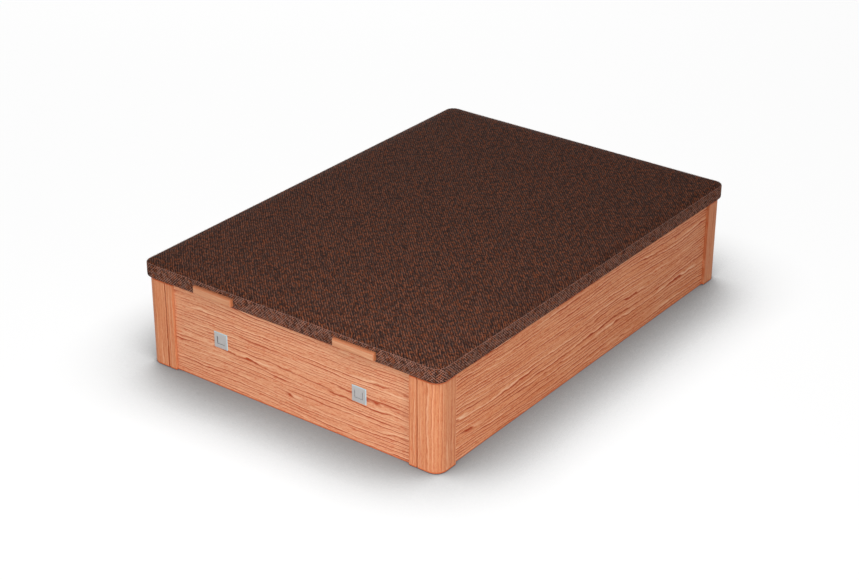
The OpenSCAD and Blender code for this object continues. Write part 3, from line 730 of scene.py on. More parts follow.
class BEDBASE_OT_floor(bpy.types.Operator):
    """Finishes the cleats, floor rails, floor boards, centre foot and glides"""

    bl_idname = "bedbase.floor"
    bl_label = "Floor of the box"

    def execute(self, context):
        cleats = [f"cleat_{place}" for place in (*ENDS, *SIDES)]
        rails = [f"floor_rail_{place}" for place in ("foot", "middle", "head")]
        rounded_copies(cleats + rails, softwood(), 0.8 * MM, "pine")
        rounded_copies([f"floor_board_{end}" for end in ENDS], fibreboard(), 0.6 * MM, "fibreboard")
        rounded_copies(["centre_foot", "post_glides"], black_plastic(), 0.8 * MM, "moulding")
        return {"FINISHED"}


class BEDBASE_OT_brackets(bpy.types.Operator):
    """Finishes the steel angles in the box's corners"""

    bl_idname = "bedbase.brackets"
    bl_label = "Corner brackets"

    def execute(self, context):
        rounded_copies(["corner_brackets"], zinc_steel(), context.scene.bedbase_metal.arris, "steel")
        return {"FINISHED"}


class BEDBASE_OT_hinges(bpy.types.Operator):
    """Finishes the leaves and pins of the two rear hinges"""

    bl_idname = "bedbase.hinges"
    bl_label = "Hinges"

    def execute(self, context):
        leaves = [f"hinge_{half}_leaf_{side}" for half in ("post", "lid") for side in SIDES]
        rounded_copies(leaves + ["hinge_pins"], zinc_steel(), 0.3 * MM, "steel")
        return {"FINISHED"}


class BEDBASE_OT_struts(bpy.types.Operator):
    """Finishes the gas struts with their plates, lugs and studs"""

    bl_idname = "bedbase.struts"
    bl_label = "Gas struts"

    def execute(self, context):
        steel = [f"strut_{kind}_{side}" for kind in ("plate", "lug") for side in SIDES]
        rounded_copies(steel + ["strut_box_studs", "strut_lid_studs"], zinc_steel(),
                       context.scene.bedbase_metal.arris, "steel")
        rounded_copies([f"strut_cylinder_{side}" for side in SIDES], cylinder_paint(), 0.8 * MM, "paint")
        rounded_copies([f"strut_rod_{side}" for side in SIDES], chrome(), 0.5 * MM, "chrome")
        return {"FINISHED"}


class BEDBASE_OT_lid_frame(bpy.types.Operator):
    """Finishes the lid's tube frame and its deck board"""

    bl_idname = "bedbase.lid_frame"
    bl_label = "Lid frame"

    def execute(self, context):
        rails = [f"lid_rail_{place}" for place in (*ENDS, *SIDES)]
        rounded_copies(rails + ["lid_crossbars"], tube_paint(), 0.6 * MM, "tube")
        rounded_copies(["deck_board"], fibreboard(), 0.8 * MM, "fibreboard")
        return {"FINISHED"}


class BEDBASE_OT_handles(bpy.types.Operator):
    """Finishes the two wooden pull handles"""

    bl_idname = "bedbase.handles"
    bl_label = "Handles"

    def execute(self, context):
        for side in SIDES:
            bm = merged(f"handle_{side}")
            round_edges(bm, 1.0 * MM)
            bm.normal_update()
            # The edging takes the top, the ends and the roundings next to them.
            for face in bm.faces:
                face.material_index = int(face.normal.z > 0.2 or abs(face.normal.x) > 0.4)
            make_piece(f"handle_{side}_wood", bm, [handle_wood(), handle_edging()], f"handle_{side}")
        return {"FINISHED"}


# ---------- geometry nodes ----------


def new_tree(name, **sockets):
    """A geometry tree that takes places, a template, its finish and other named inputs."""
    tree = bpy.data.node_groups.new(name, "GeometryNodeTree")
    given = {"Places": "Geometry", "Template": "Object", "Finish": "Material", **sockets}
    for label, kind in given.items():
        tree.interface.new_socket(label, in_out="INPUT", socket_type=f"NodeSocket{kind}")
    tree.interface.new_socket("Result", in_out="OUTPUT", socket_type="NodeSocketGeometry")
    return tree, add(tree, "NodeGroupInput", output=None)


def close_tree(tree, given, places, aimed, angle):
    """Ends a tree: on each place an aimed template, turned about its own Z, in its finish."""
    template = add(tree, "GeometryNodeObjectInfo", {"Object": given["Template"]}, "Geometry")
    spin = add(tree, "FunctionNodeAxisAngleToRotation", {"Axis": (0, 0, 1), "Angle": angle})
    rotation = add(tree, "FunctionNodeRotateRotation", {"Rotation": aimed, "Rotate By": spin},
                   rotation_space="LOCAL")
    copies = add(tree, "GeometryNodeInstanceOnPoints", {
        "Points": places, "Instance": template, "Rotation": rotation})
    whole = add(tree, "GeometryNodeRealizeInstances", {0: copies})
    finished = add(tree, "GeometryNodeSetMaterial", {"Geometry": whole, "Material": given["Finish"]})
    add(tree, "NodeGroupOutput", {0: finished}, None)
    return tree


def fastener_tree():
    """A fastener on each point, along the point's axis and rolled at random."""
    tree, given = new_tree("Fasteners on points", Seed="Int")
    axis = add(tree, "GeometryNodeInputNamedAttribute", {"Name": "axis"}, data_type="FLOAT_VECTOR")
    aimed = add(tree, "FunctionNodeAlignRotationToVector", {"Vector": axis}, axis="Z")
    turn = add(tree, "FunctionNodeRandomValue", {"Seed": given["Seed"]}, 1, data_type="FLOAT")
    roll = add(tree, "ShaderNodeMath", {0: turn, 1: math.tau}, operation="MULTIPLY")
    return close_tree(tree, given, given["Places"], aimed, roll)


def stitch_tree():
    """A zigzag row of stitches along a line of edges."""
    tree, given = new_tree("Zigzag stitches", Pitch="Float", Slant="Float")
    line = add(tree, "GeometryNodeMeshToCurve", {0: given["Places"]})
    steps = add(tree, "GeometryNodeResampleCurve", {"Curve": line, "Length": given["Pitch"]},
                mode="LENGTH")
    tangent = add(tree, "GeometryNodeInputTangent")
    along = add(tree, "FunctionNodeAlignRotationToVector", {"Vector": tangent}, axis="X")
    index = add(tree, "GeometryNodeInputIndex")
    parity = add(tree, "ShaderNodeMath", {0: index, 1: 2.0}, operation="MODULO")
    swing = add(tree, "ShaderNodeMapRange", {"Value": parity, "To Min": -1.0, "To Max": 1.0})
    angle = add(tree, "ShaderNodeMath", {0: swing, 1: given["Slant"]}, operation="MULTIPLY")
    return close_tree(tree, given, steps, along, angle)


def plain_mesh(obj):
    """The mesh that an object's modifiers make."""
    return bpy.data.meshes.new_from_object(obj.evaluated_get(bpy.context.evaluated_depsgraph_get()))


def grown(places, tree, finish, bm, **inputs):
    """Adds to a bmesh what a tree makes on a mesh of places."""
    obj = bpy.data.objects.new("places", places)
    bpy.context.scene.collection.objects.link(obj)
    modifier = obj.modifiers.new("Grow", "NODES")
    modifier.node_group = tree
    inputs["Finish"] = finish
    for item in tree.interface.items_tree:
        if item.in_out == "INPUT" and item.name in inputs:
            modifier[item.identifier] = inputs[item.name]
    bm.from_mesh(plain_mesh(obj))
    obj.modifiers.remove(modifier)
    bpy.data.objects.remove(obj)
    return bm


def template_object(name, bm):
    """An object outside the scene, for a tree to copy."""
    mesh = bpy.data.meshes.new(name)
    bmesh.ops.recalc_face_normals(bm, faces=bm.faces)
    bm.to_mesh(mesh)
    bm.free()
    return bpy.data.objects.new(name, mesh)


def lathe(profile, segments):
    """Turns (radius, height) points about Z into a closed skin. Its ends lie on the axis."""
    bm = bmesh.new()
    rings = []
    for radius, height in profile:
        count = 1 if radius == 0 else segments
        turns = [math.tau * i / count for i in range(count)]
        rings.append([bm.verts.new((radius * math.cos(t), radius * math.sin(t), height)) for t in turns])
    for below, above in zip(rings, rings[1:]):
        for i in range(segments):
            corners = [below[i % len(below)], below[(i + 1) % len(below)],
                       above[(i + 1) % len(above)], above[i % len(above)]]
            bm.faces.new(list(dict.fromkeys(corners)))
    return bm


# ---------- fasteners ----------

THREAD_PITCH = 1.4 * MM
SCREW_SIDES = 16
BUFFER_SIDES = 28


def screw_places(node):
    """Reads each screw of a CAD node: its kind, length, head's outer centre and axis, and radii."""
    for points, low, high in solids(node):
        axis = max((X, Y, Z), key=lambda i: high[i] - low[i])
        middle = (low + high) / 2
        along = Vector([float(i == axis) for i in (X, Y, Z)])
        across = [
            max((p - middle).cross(along).length for p in points if abs(p[axis] - end[axis]) < 10 * TINY)
            for end in (low, high)]
        tip, top = (high, low) if across[0] > across[1] else (low, high)
        head = middle.copy()
        head[axis] = top[axis]
        way = along if tip[axis] > top[axis] else -along
        at_head = [abs(p[axis] - top[axis]) for p in points
                   if (p - middle).cross(way).length > max(across) - 10 * TINY]
        kind = "pan" if max(at_head) > 0.3 * MM else "sunk"
        yield kind, round((high - low)[axis] / MM, 1), head, way, max(across), min(across)


def screw_template(kind, length, head_r, shank_r):
    """A screw along +Z with its head's outer face at z = 0, a threaded shank and a cross recess."""
    head_h, sharp = 1.8 * MM, 0.1 * MM
    if kind == "pan":
        steepest = 1.35
        profile = [(0, 0)]
        for a in (0.45, 0.9, steepest):
            rise = head_h * 0.55 * (1 - math.cos(a)) / (1 - math.cos(steepest))
            profile.append((head_r * math.sin(a) / math.sin(steepest), rise))
        profile += [(head_r, head_h), (shank_r, head_h)]
    else:
        profile = [(0, 0), (head_r - sharp, 0), (head_r, sharp), (shank_r, head_r - shank_r)]
    start = profile[-1][1] + 1.0 * MM
    for i in range(int((length - 3.0 * MM - start) / THREAD_PITCH)):
        z = start + i * THREAD_PITCH
        profile += [(shank_r * 0.78, z), (shank_r, z + THREAD_PITCH / 2)]
    profile += [(shank_r * 0.7, length - 2.4 * MM), (0, length)]
    screw = template_object(f"{kind}_screw", lathe(profile, SCREW_SIDES))

    cross = bmesh.new()
    long, short, deep = head_r * 0.55, head_r * 0.12, 1.2 * MM
    add_box(cross, (-long, -short, -deep), (long, short, deep))
    add_box(cross, (-short, -long, -deep), (short, long, deep))
    cutter = template_object("recess", cross)
    recess = screw.modifiers.new("Recess", "BOOLEAN")
    recess.operation = "DIFFERENCE"
    recess.object = cutter
    recess.use_self = True
    for obj in (screw, cutter):
        bpy.context.scene.collection.objects.link(obj)
    mesh = plain_mesh(screw)
    for obj in (screw, cutter):
        bpy.data.objects.remove(obj)
    return bpy.data.objects.new(f"{kind}_screw", mesh)


def point_mesh(places):
    """A mesh of bare points, each with the axis of the fastener that stands on it."""
    mesh = bpy.data.meshes.new("places")
    mesh.from_pydata([place for place, _ in places], [], [])
    axis = mesh.attributes.new("axis", "FLOAT_VECTOR", "POINT")
    for datum, (_, way) in zip(axis.data, places):
        datum.vector = way
    return mesh


class BEDBASE_OT_screws(bpy.types.Operator):
    """Sets a threaded cross-head screw in each screw's place"""

    bl_idname = "bedbase.screws"
    bl_label = "Screws"

    def execute(self, context):
        tree = fastener_tree()
        for node in ("box_screws", "lid_screws"):
            groups = {}
            for kind, length, head, way, head_r, shank_r in screw_places(node):
                key = (kind, length, round(head_r / MM, 2), round(shank_r / MM, 2))
                groups.setdefault(key, []).append((head, way))
            bm = bmesh.new()
            for (kind, *sizes), places in sorted(groups.items()):
                grown(point_mesh(places), tree, zinc_steel(), bm, Seed=context.scene.bedbase_metal.seed,
                      Template=screw_template(kind, *(size * MM for size in sizes)))
            make_piece(f"{node}_steel", bm, [zinc_steel()], node)
        return {"FINISHED"}


class BEDBASE_OT_buffers(bpy.types.Operator):
    """Sets a rounded rubber buffer in each place on the rim"""

    bl_idname = "bedbase.buffers"
    bl_label = "Buffers"

    def execute(self, context):
        boxes = [(low, high) for _, low, high in solids("lid_buffers")]
        up = Vector((0, 0, 1))
        places = [(Vector(((a.x + b.x) / 2, (a.y + b.y) / 2, a.z)), up) for a, b in boxes]
        low, high = boxes[-1]
        radius, height = (high.x - low.x) / 2, high.z - low.z
        soft = height * 0.4
        profile = [(0, 0), (radius, 0)]
        profile += [(radius - soft + soft * math.cos(a), height - soft + soft * math.sin(a))
                    for a in (0.0, 0.5, 1.0, math.pi / 2)]
        profile += [(radius * 0.3, height), (radius * 0.25, height - soft), (0, height - soft)]
        template = template_object("buffer", lathe(profile, BUFFER_SIDES))
        bm = grown(point_mesh(places), fastener_tree(), rubber(), bmesh.new(), Template=template, Seed=0)
        make_piece("lid_buffers_rubber", bm, [rubber()], "lid_buffers")
        return {"FINISHED"}


# ---------- soft pieces ----------


def lid_outline():
    """The lid's half width and length, and the radii of its corners and edges, from its cover."""
    side = [v.co for v in frame["nodes"]["lid_cover"].data.vertices if v.co.x > COVER_HIGH.x - TINY]
    return (COVER_HIGH.x, COVER_HIGH.y, COVER_HIGH.y - max(p.y for p in side),
            COVER_HIGH.z - max(p.z for p in side))


HALF_W, HALF_L, CORNER_R, EDGE_R = lid_outline()
CORNER_CELLS = 3


def station(index, straight, half):
    """One axis of the lid's grid: how far into a corner, on which side, and the straight place."""
    if index < CORNER_CELLS:
        return (CORNER_CELLS - index) / CORNER_CELLS, -1, -half
    if index > CORNER_CELLS + straight:
        return (index - CORNER_CELLS - straight) / CORNER_CELLS, 1, half
    return 0.0, 1, -half + 2 * half * (index - CORNER_CELLS) / straight


def corner_point(a, b, r):
    """A point of the patch that fills a rounded corner, for a and b from 0 to 1."""
    right = Vector((math.cos(b * math.pi / 4), math.sin(b * math.pi / 4)))
    top = Vector((math.sin(a * math.pi / 4), math.cos(a * math.pi / 4)))
    tip = Vector((math.sqrt(0.5), math.sqrt(0.5)))
    point = (1 - b) * Vector((a, 0)) + b * top + (1 - a) * Vector((0, b)) + a * right
    point -= a * (1 - b) * Vector((1, 0)) + (1 - a) * b * Vector((0, 1)) + a * b * tip
    return point * r


def plan_point(i, j, counts, inset):
    """The place in plan of a grid point of the lid's outline, inset from its edge."""
    a, side_x, x = station(i, counts[0], HALF_W - CORNER_R)
    b, side_y, y = station(j, counts[1], HALF_L - CORNER_R)
    reach = corner_point(a, b, CORNER_R - inset) if a or b else Vector((0, 0))
    return x + side_x * reach.x, y + side_y * reach.y


def outline_places(step):
    """The grid's straight cells, its last indices, and its border in order round the lid."""
    counts = [round(2 * (half - CORNER_R) / step) for half in (HALF_W, HALF_L)]
    last_i, last_j = (count + 2 * CORNER_CELLS for count in counts)
    border = [(i, 0) for i in range(last_i)] + [(last_i, j) for j in range(last_j)]
    border += [(i, last_j) for i in range(last_i, 0, -1)] + [(0, j) for j in range(last_j, 0, -1)]
    return counts, (last_i, last_j), border


def closed_line(points):
    """A mesh of edges that joins the points in a ring."""
    mesh = bpy.data.meshes.new("line")
    mesh.from_pydata(points, [(n, (n + 1) % len(points)) for n in range(len(points))], [])
    return mesh


def lofted_shell(rings, step, closed=False, seam=None):
    """A skin like a tray turned over: a grid inside the first ring, then strips from ring to ring.

    Each ring is (inset, height). The UVs, in metres, run over the top as seen from above and
    round the sides below the seam ring."""
    counts, (last_i, last_j), border = outline_places(step)
    bm = bmesh.new()
    uv = bm.loops.layers.uv.new("weave")

    def grid(inset, height):
        return {(i, j): bm.verts.new((*plan_point(i, j, counts, inset), height))
                for i in range(last_i + 1) for j in range(last_j + 1)}

    def cover_grid(verts, flip):
        for i in range(last_i):
            for j in range(last_j):
                corners = [verts[i, j], verts[i + 1, j], verts[i + 1, j + 1], verts[i, j + 1]]
                face = bm.faces.new(corners[::-1] if flip else corners)
                for loop in face.loops:
                    loop[uv].uv = loop.vert.co.xy

    top = grid(*rings[0])
    cover_grid(top, False)
    above = [top[place] for place in border]
    around = [0.0]
    for a, b in zip(above, above[1:] + above[:1]):
        around.append(around[-1] + (b.co - a.co).length)
    down = 0.0
    bottom = None
    for k, (inset, height) in enumerate(rings[1:], 1):
        if closed and k == len(rings) - 1:
            bottom = grid(inset, height)
            below = [bottom[place] for place in border]
        else:
            below = [bm.verts.new((*plan_point(i, j, counts, inset), height)) for i, j in border]
        drop = (below[0].co - above[0].co).length
        for n in range(len(border)):
            m = (n + 1) % len(border)
            face = bm.faces.new([above[n], below[n], below[m], above[m]])
            flat = seam is not None and k <= seam
            strip = [(around[n], -down), (around[n], -down - drop), (around[n + 1], -down - drop),
                     (around[n + 1], -down)]
            for loop, place in zip(face.loops, strip):
                loop[uv].uv = loop.vert.co.xy if flat else place
            face.material_index = 0 if flat else 1
        down += drop
        above = below
    if bottom:
        cover_grid(bottom, True)
    return bm


def quarter(inset, height, radius, start, stop, steps):
    """Rings over a rounded edge whose middle is at (inset, height), angles from level outwards."""
    return [(inset - radius * math.cos(a), height + radius * math.sin(a))
            for a in (math.radians(start + (stop - start) * k / steps) for k in range(steps + 1))]


def pressed_out(obj, pinned, caps, pressure=3.0, frames=14):
    """Swells a skin by cloth simulation, with points held and every move softly capped.

    pinned names the vertex group that holds, and caps(point) says how far a point may move."""
    rest = [v.co.copy() for v in obj.data.vertices]
    cloth = obj.modifiers.new("Cloth", "CLOTH")
    settings = cloth.settings
    settings.quality = 4
    settings.mass = 0.3
    settings.tension_stiffness = 15
    settings.compression_stiffness = 15
    settings.bending_stiffness = 2.0
    settings.use_pressure = True
    settings.uniform_pressure_force = pressure
    settings.effector_weights.gravity = 0
    settings.vertex_group_mass = pinned
    cloth.collision_settings.use_collision = False
    cloth.point_cache.frame_start = 1
    cloth.point_cache.frame_end = frames
    scene = bpy.context.scene
    for number in range(1, frames + 1):
        scene.frame_set(number)
    depsgraph = bpy.context.evaluated_depsgraph_get()
    moved = [v.co.copy() for v in obj.evaluated_get(depsgraph).data.vertices]
    obj.modifiers.remove(cloth)
    scene.frame_set(1)
    for vert, old, new in zip(obj.data.vertices, rest, moved):
        move = new - old
        cap = caps(old)
        if move.length > 1e-9 and cap > 0:
            vert.co = old + move * (cap * math.tanh(move.length / cap) / move.length)
    obj.data.update()


def group(obj, name, weight):
    """A vertex group from a function of a point."""
    made = obj.vertex_groups.new(name=name)
    for vert in obj.data.vertices:
        made.add([vert.index], weight(vert.co), "REPLACE")
    return made.name


def thickened(obj, thickness, offset, thin=""):
    """Gives a skin its thickness and bakes its modifiers. The group thin scales it down."""
    solid = obj.modifiers.new("Thickness", "SOLIDIFY")
    solid.thickness = thickness
    solid.offset = offset
    solid.vertex_group = thin
    obj.data = plain_mesh(obj)
    obj.modifiers.clear()


def stitch_template(length, radius, rise):
    """One stitch along X: a thread that comes up, crosses and goes down again, bulging by rise."""
    bm = bmesh.new()
    steps, sides = 5, 6
    rings = []
    for k in range(steps + 1):
        x = (k / steps - 0.5) * length
        z = rise * (math.sin(math.pi * k / steps) - 0.5)
        rings.append([bm.verts.new((x, radius * math.cos(math.tau * s / sides),
                                    z + radius * math.sin(math.tau * s / sides))) for s in range(sides)])
    for a, b in zip(rings, rings[1:]):
        for s in range(sides):
            bm.faces.new([a[s], a[(s + 1) % sides], b[(s + 1) % sides], b[s]])
    bm.faces.new(rings[0])
    bm.faces.new(rings[-1][::-1])
    return template_object("stitch", bm)


def sewn_row(name, points, node, finish, width, radius, rise):
    """A zigzag of stitches along a ring of points, as a piece that rides with a CAD node's body."""
    pitch = bpy.context.scene.bedbase_lid.stitch_pitch
    bm = grown(closed_line(points), stitch_tree(), finish, bmesh.new(), Pitch=pitch,
               Template=stitch_template(math.hypot(width, pitch), radius, rise),
               Slant=math.atan2(width, pitch))
    stitches = new_object(name, bm, [finish])
    ride_as(stitches, node)
    return stitches


def swell(point):
    """0 at the lid's edge, rising to 1 a hand's breadth in."""
    edge, reach = 10.0 * MM, 50.0 * MM
    rim = min(HALF_W - abs(point.x), HALF_L - abs(point.y))
    return 1 - math.exp(-max(rim - edge, 0) / reach)


# The soft pieces are drawn smaller than in the CAD by this, and swell to its size.
SINK = 1.0 * MM
HEM_IN = HALF_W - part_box("under_cloth")[1].x - 0.3 * MM
COVER_CELL = 18.0 * MM
FOAM_CELL = 30.0 * MM


class BEDBASE_OT_cover(bpy.types.Operator):
    """Sews the woven cover: a crowned top, a seam along its edge, sides and a hem beneath"""

    bl_idname = "bedbase.cover"
    bl_label = "Woven cover"

    def execute(self, context):
        lid = context.scene.bedbase_lid
        bottom, top, edge = COVER_LOW.z, COVER_HIGH.z, EDGE_R + SINK
        over = quarter(edge, top - edge, EDGE_R, 90, 0, 6)
        # The seam runs halfway round the edge and is drawn about a millimetre into the foam.
        seam, seam_sink = 3, 0.8 * MM
        seam_inset, seam_rise = over[seam]
        over[seam] = (seam_inset + seam_sink, seam_rise - seam_sink)
        under = quarter(edge, bottom + EDGE_R, EDGE_R, 0, -90, 4)
        upright = [(SINK, over[-1][1] + (under[0][1] - over[-1][1]) * k / 4) for k in (1, 2, 3)]
        hem = [(edge + (HEM_IN - edge) * k / 3, bottom) for k in (1, 2, 3)]
        bm = lofted_shell(over + upright + under + hem, COVER_CELL, seam=seam)
        obj = new_object("lid_cover_woven", bm, [
            woven_cover("Spacer mesh", lid.weave_pitch, wander=8.0 * MM, cross_share=0.75,
                        pale_share=0.25, hole_shade_share=0.95),
            woven_cover("Spacer mesh border", lid.border_pitch, wander=1.0 * MM, cross_share=1.0,
                        pale_share=0.62, hole_shade_share=1.0)])
        seam_z = over[seam][1]

        def held(point):
            return float(point.z < bottom + 0.5 * MM or abs(point.z - seam_z) < NEAR)

        def caps(point):
            return lid.crown if point.z > seam_z else lid.side_bulge

        pinned = group(obj, "held", held)
        pressed_out(obj, pinned, caps)
        hem_share = lid.hem_thickness / lid.cover_thickness
        thin = group(obj, "thick", lambda p: hem_share if p.z < bottom + 2.0 * MM else 1.0)
        smooth = obj.modifiers.new("Smooth", "SUBSURF")
        smooth.levels = smooth.render_levels = 1
        thickened(obj, lid.cover_thickness, -1, thin)
        ride_as(obj, "lid_cover")
        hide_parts("lid_cover")
        counts, _, border = outline_places(COVER_CELL)
        seam_line = [(*plan_point(i, j, counts, seam_inset), seam_rise) for i, j in border]
        sewn_row("lid_cover_stitches", seam_line, "lid_cover", thread("Seam thread", "96685A", "B48474"),
                 width=3.0 * MM, radius=0.38 * MM, rise=0.5 * MM)
        return {"FINISHED"}


class BEDBASE_OT_foam(bpy.types.Operator):
    """Cuts the foam that fills the cover over the deck board and round the frame"""

    bl_idname = "bedbase.foam"
    bl_label = "Foam"

    def execute(self, context):
        crown = context.scene.bedbase_lid.crown
        outside = HALF_W - FOAM_HIGH.x + SINK
        inside = COVER_HIGH.x - DECK_HIGH.x - 0.3 * MM
        round_r = EDGE_R - outside
        top, bottom = FOAM_HIGH.z - SINK, FOAM_LOW.z
        rings = quarter(EDGE_R, top - round_r, round_r, 90, 0, 3)
        rings += quarter(EDGE_R, bottom + round_r, round_r, 0, -90, 3)
        rings += [(inside, bottom), (inside, (bottom + DECK_HIGH.z) / 2), (inside, DECK_HIGH.z)]
        bm = lofted_shell(rings, FOAM_CELL, closed=True)
        # Its crown stays below the cover's.
        for vert in bm.verts:
            if vert.co.z > top - NEAR:
                vert.co.z += 0.7 * crown * swell(vert.co)
        obj = new_object("lid_foam_block", bm, [foam(), foam()])
        ride_as(obj, "lid_foam")
        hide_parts("lid_foam")
        return {"FINISHED"}


class BEDBASE_OT_under_cloth(bpy.types.Operator):
    """Stretches the cloth under the lid and sews it to the hem with a zigzag"""

    bl_idname = "bedbase.under_cloth"
    bl_label = "Under cloth"

    def execute(self, context):
        low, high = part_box("under_cloth")
        # It hangs on the two ends and the crossbars, and is cut out round the struts' lugs.
        bars = sorted({round((a.y + b.y) / 2, 4) for _, a, b in solids("lid_crossbars")})
        held = [low.y, *bars, high.y]
        lug_low, lug_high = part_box("strut_lug_right")
        cells_x, cells_y = 60, 88
        deepest, cut_x, cut_y = 2.6 * MM, 12.0 * MM, 16.0 * MM
        columns = [low.x + (high.x - low.x) * i / cells_x for i in range(cells_x + 1)]
        rows = [low.y + (high.y - low.y) * j / cells_y for j in range(cells_y + 1)]

        def sag(i, y):
            bay = next(k for k in range(len(held) - 1) if y <= held[k + 1] + TINY)
            part = (y - held[bay]) / (held[bay + 1] - held[bay])
            ease = min(1.0, 6 * i / cells_x, 6 * (1 - i / cells_x))
            return deepest * math.sin(math.pi * part) ** 2 * ease ** 2

        bm = bmesh.new()
        verts = {(i, j): bm.verts.new((x, y, high.z - sag(i, y)))
                 for i, x in enumerate(columns) for j, y in enumerate(rows)}
        for i in range(cells_x):
            for j in range(cells_y):
                from_lug = abs(rows[j] + rows[j + 1] - lug_low.y - lug_high.y) / 2
                if abs(columns[i] + columns[i + 1]) / 2 > lug_low.x - cut_x and from_lug < cut_y:
                    continue
                bm.faces.new([verts[i, j], verts[i, j + 1], verts[i + 1, j + 1], verts[i + 1, j]])
        bmesh.ops.delete(bm, geom=[v for v in bm.verts if not v.link_faces], context="VERTS")
        obj = new_object("under_cloth_sheet", bm, [spunbond()])
        thickened(obj, high.z - low.z - 0.2 * MM, 1)
        ride_as(obj, "under_cloth")
        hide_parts("under_cloth")

        x, y, z = high.x + 0.15 * MM, high.y + 0.15 * MM, COVER_LOW.z + 0.05 * MM
        stitches = sewn_row(
            "under_cloth_stitches", [(-x, -y, z), (x, -y, z), (x, y, z), (-x, y, z)], "under_cloth",
            thread("Sewing thread", "5E4438", "74584A"), width=4.0 * MM, radius=0.25 * MM,
            rise=-0.22 * MM)
        return {"FINISHED"}


# ---------- stage ----------


def look_from(eye, heading, pitch, roll):
    """A camera's matrix from its place and its angles."""
    turn = Matrix.Rotation(heading, 4, "Z") @ Matrix.Rotation(math.pi / 2 - pitch, 4, "X")
    return Matrix.Translation(eye) @ turn @ Matrix.Rotation(roll, 4, "Z")


def area_light(name, place, aim, size, power):
    """A large soft lamp that points at aim."""
    lamp = bpy.data.lights.new(name, "AREA")
    lamp.shape = "DISK"
    lamp.size = size
    lamp.energy = power
    obj = bpy.data.objects.new(name, lamp)
    obj.location = place
    obj.rotation_euler = (Vector(aim) - Vector(place)).to_track_quat("-Z", "Y").to_euler()
    bpy.context.scene.collection.objects.link(obj)


def seen_directly(tree, unseen, seen):
    """One value for light that is passed on, another for the camera, reflections and glass."""
    rays = add(tree, "ShaderNodeLightPath", output=None)
    share = rays["Is Camera Ray"]
    for kind in ("Is Glossy Ray", "Is Transmission Ray"):
        share = add(tree, "ShaderNodeMath", {0: share, 1: rays[kind]}, operation="MAXIMUM")
    return add(tree, "ShaderNodeMapRange", {"Value": share, "To Min": unseen, "To Max": seen})


def pale_floor():
    """Matt white studio board. Seen directly, it is mostly a painted shadow: it glows neutral grey near the
    bed and fades to white, by how much open sky each point has. A smaller share is its lit surface with the
    bed's real shade.
    """
    material, tree, bsdf = new_material("Pale studio floor")
    fill(tree, bsdf, {"Base Color": linear("F4F4F4"), "Roughness": 1.0, "Specular IOR Level": 0.0})
    # Painted shadow: the open sky over the floor, looked for on the side that the lamp over the head end
    # shines from, sets how grey the floor glows.
    tilt = Vector((-0.62, 0.45, 0.64)).normalized()
    sky = add(tree, "ShaderNodeAmbientOcclusion", {"Distance": 0.42, "Normal": tilt}, "AO", samples=12)
    shade = add(tree, "ShaderNodeValToRGB", {0: sky}, stops=[
        (0.30, "404040"), (0.60, "8C8C8C"), (0.84, "E6E6E6"), (0.97, 1.0)])
    seen = add(tree, "ShaderNodeEmission", {"Color": shade, "Strength": 1.09})
    surface = add(tree, "ShaderNodeMixShader", {
        0: seen_directly(tree, 0.0, 0.85), 1: bsdf.outputs[0], 2: seen})
    fill(tree, tree.nodes["Material Output"], {"Surface": surface})
    return material


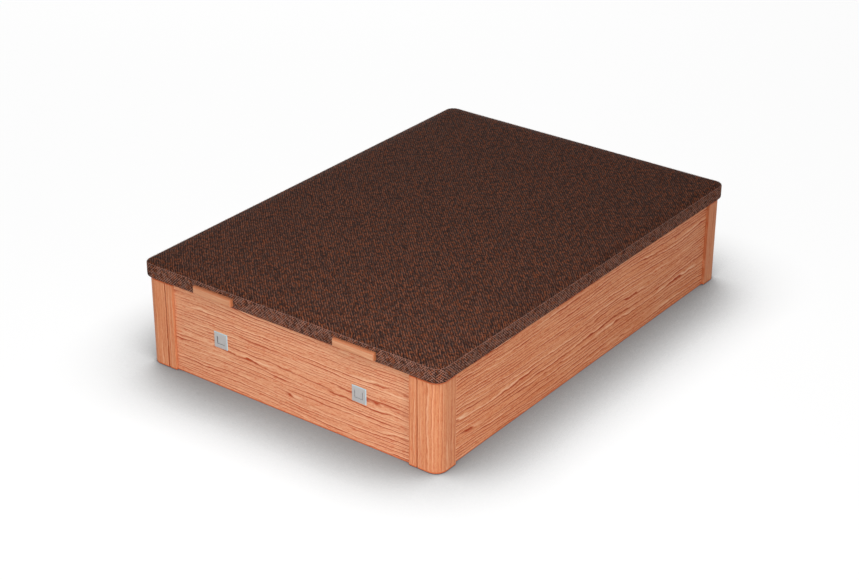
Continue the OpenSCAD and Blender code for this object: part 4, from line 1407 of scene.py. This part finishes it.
class BEDBASE_OT_studio(bpy.types.Operator):
    """Sets the camera, a pale floor, a white surround and soft studio lamps"""

    bl_idname = "bedbase.studio"
    bl_label = "Studio"

    def execute(self, context):
        stage = context.scene.bedbase_stage
        scene = context.scene
        scene.view_settings.view_transform = "Standard"
        camera = bpy.data.cameras.new("Camera")
        camera.lens = stage.lens
        camera.sensor_width = 36
        camera.clip_end = 100
        eye = bpy.data.objects.new("Camera", camera)
        eye.matrix_world = look_from(stage.eye, stage.heading, stage.pitch, stage.roll)
        scene.collection.objects.link(eye)
        scene.camera = eye

        bm = bmesh.new()
        bmesh.ops.create_grid(bm, x_segments=1, y_segments=1, size=20.0)
        new_object("floor", bm, [pale_floor()])

        world = bpy.data.worlds.new("Studio")
        world.use_nodes = True
        scene.world = world
        tree = world.node_tree
        fill(tree, tree.nodes["Background"], {
            "Color": (1, 1, 1, 1), "Strength": seen_directly(tree, stage.sky, 1.0)})

        box_middle = (0.0, 0.0, 0.2)
        area_light("key", (-2.0, 1.8, 5.4), box_middle, 4.5, stage.key)
        area_light("front", (-0.8, -8.0, 0.9), box_middle, 2.0, stage.front)
        area_light("side", (7.0, -2.8, 0.9), box_middle, 2.0, stage.side)
        area_light("back", (-6.0, 5.5, 1.0), box_middle, 2.5, stage.back)
        area_light("top", (1.0, -1.7, 2.1), (0.4, -0.9, 0.3), 1.4, stage.top)
        return {"FINISHED"}


# ---------- add-on ----------

OPERATORS = [
    BEDBASE_OT_studio, BEDBASE_OT_panels, BEDBASE_OT_posts, BEDBASE_OT_vents, BEDBASE_OT_floor,
    BEDBASE_OT_brackets, BEDBASE_OT_screws, BEDBASE_OT_buffers, BEDBASE_OT_hinges, BEDBASE_OT_struts,
    BEDBASE_OT_lid_frame, BEDBASE_OT_foam, BEDBASE_OT_cover, BEDBASE_OT_under_cloth, BEDBASE_OT_handles,
]
GROUPS = {
    "bedbase_wood": BedBaseWood,
    "bedbase_lid": BedBaseLid,
    "bedbase_metal": BedBaseMetal,
    "bedbase_stage": BedBaseStage,
}


class BEDBASE_PT_sidebar(bpy.types.Panel):
    """Lists the steps that finish the bed base"""

    bl_idname = "BEDBASE_PT_sidebar"
    bl_label = "Bed base"
    bl_space_type = "VIEW_3D"
    bl_region_type = "UI"
    bl_category = "Bed base"

    def draw(self, context):
        for operator in OPERATORS:
            self.layout.operator(operator.bl_idname)


def register():
    for cls in (*GROUPS.values(), *OPERATORS, BEDBASE_PT_sidebar):
        bpy.utils.register_class(cls)
    for name, cls in GROUPS.items():
        setattr(bpy.types.Scene, name, PointerProperty(type=cls))


def unregister():
    for name in GROUPS:
        delattr(bpy.types.Scene, name)
    for cls in (BEDBASE_PT_sidebar, *reversed(OPERATORS), *reversed(GROUPS.values())):
        bpy.utils.unregister_class(cls)


def main():
    """Makes every piece in order."""
    register()
    for operator in OPERATORS:
        family, step = operator.bl_idname.split(".")
        getattr(getattr(bpy.ops, family), step)()
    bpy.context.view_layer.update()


if __name__ == "__main__":
    main()
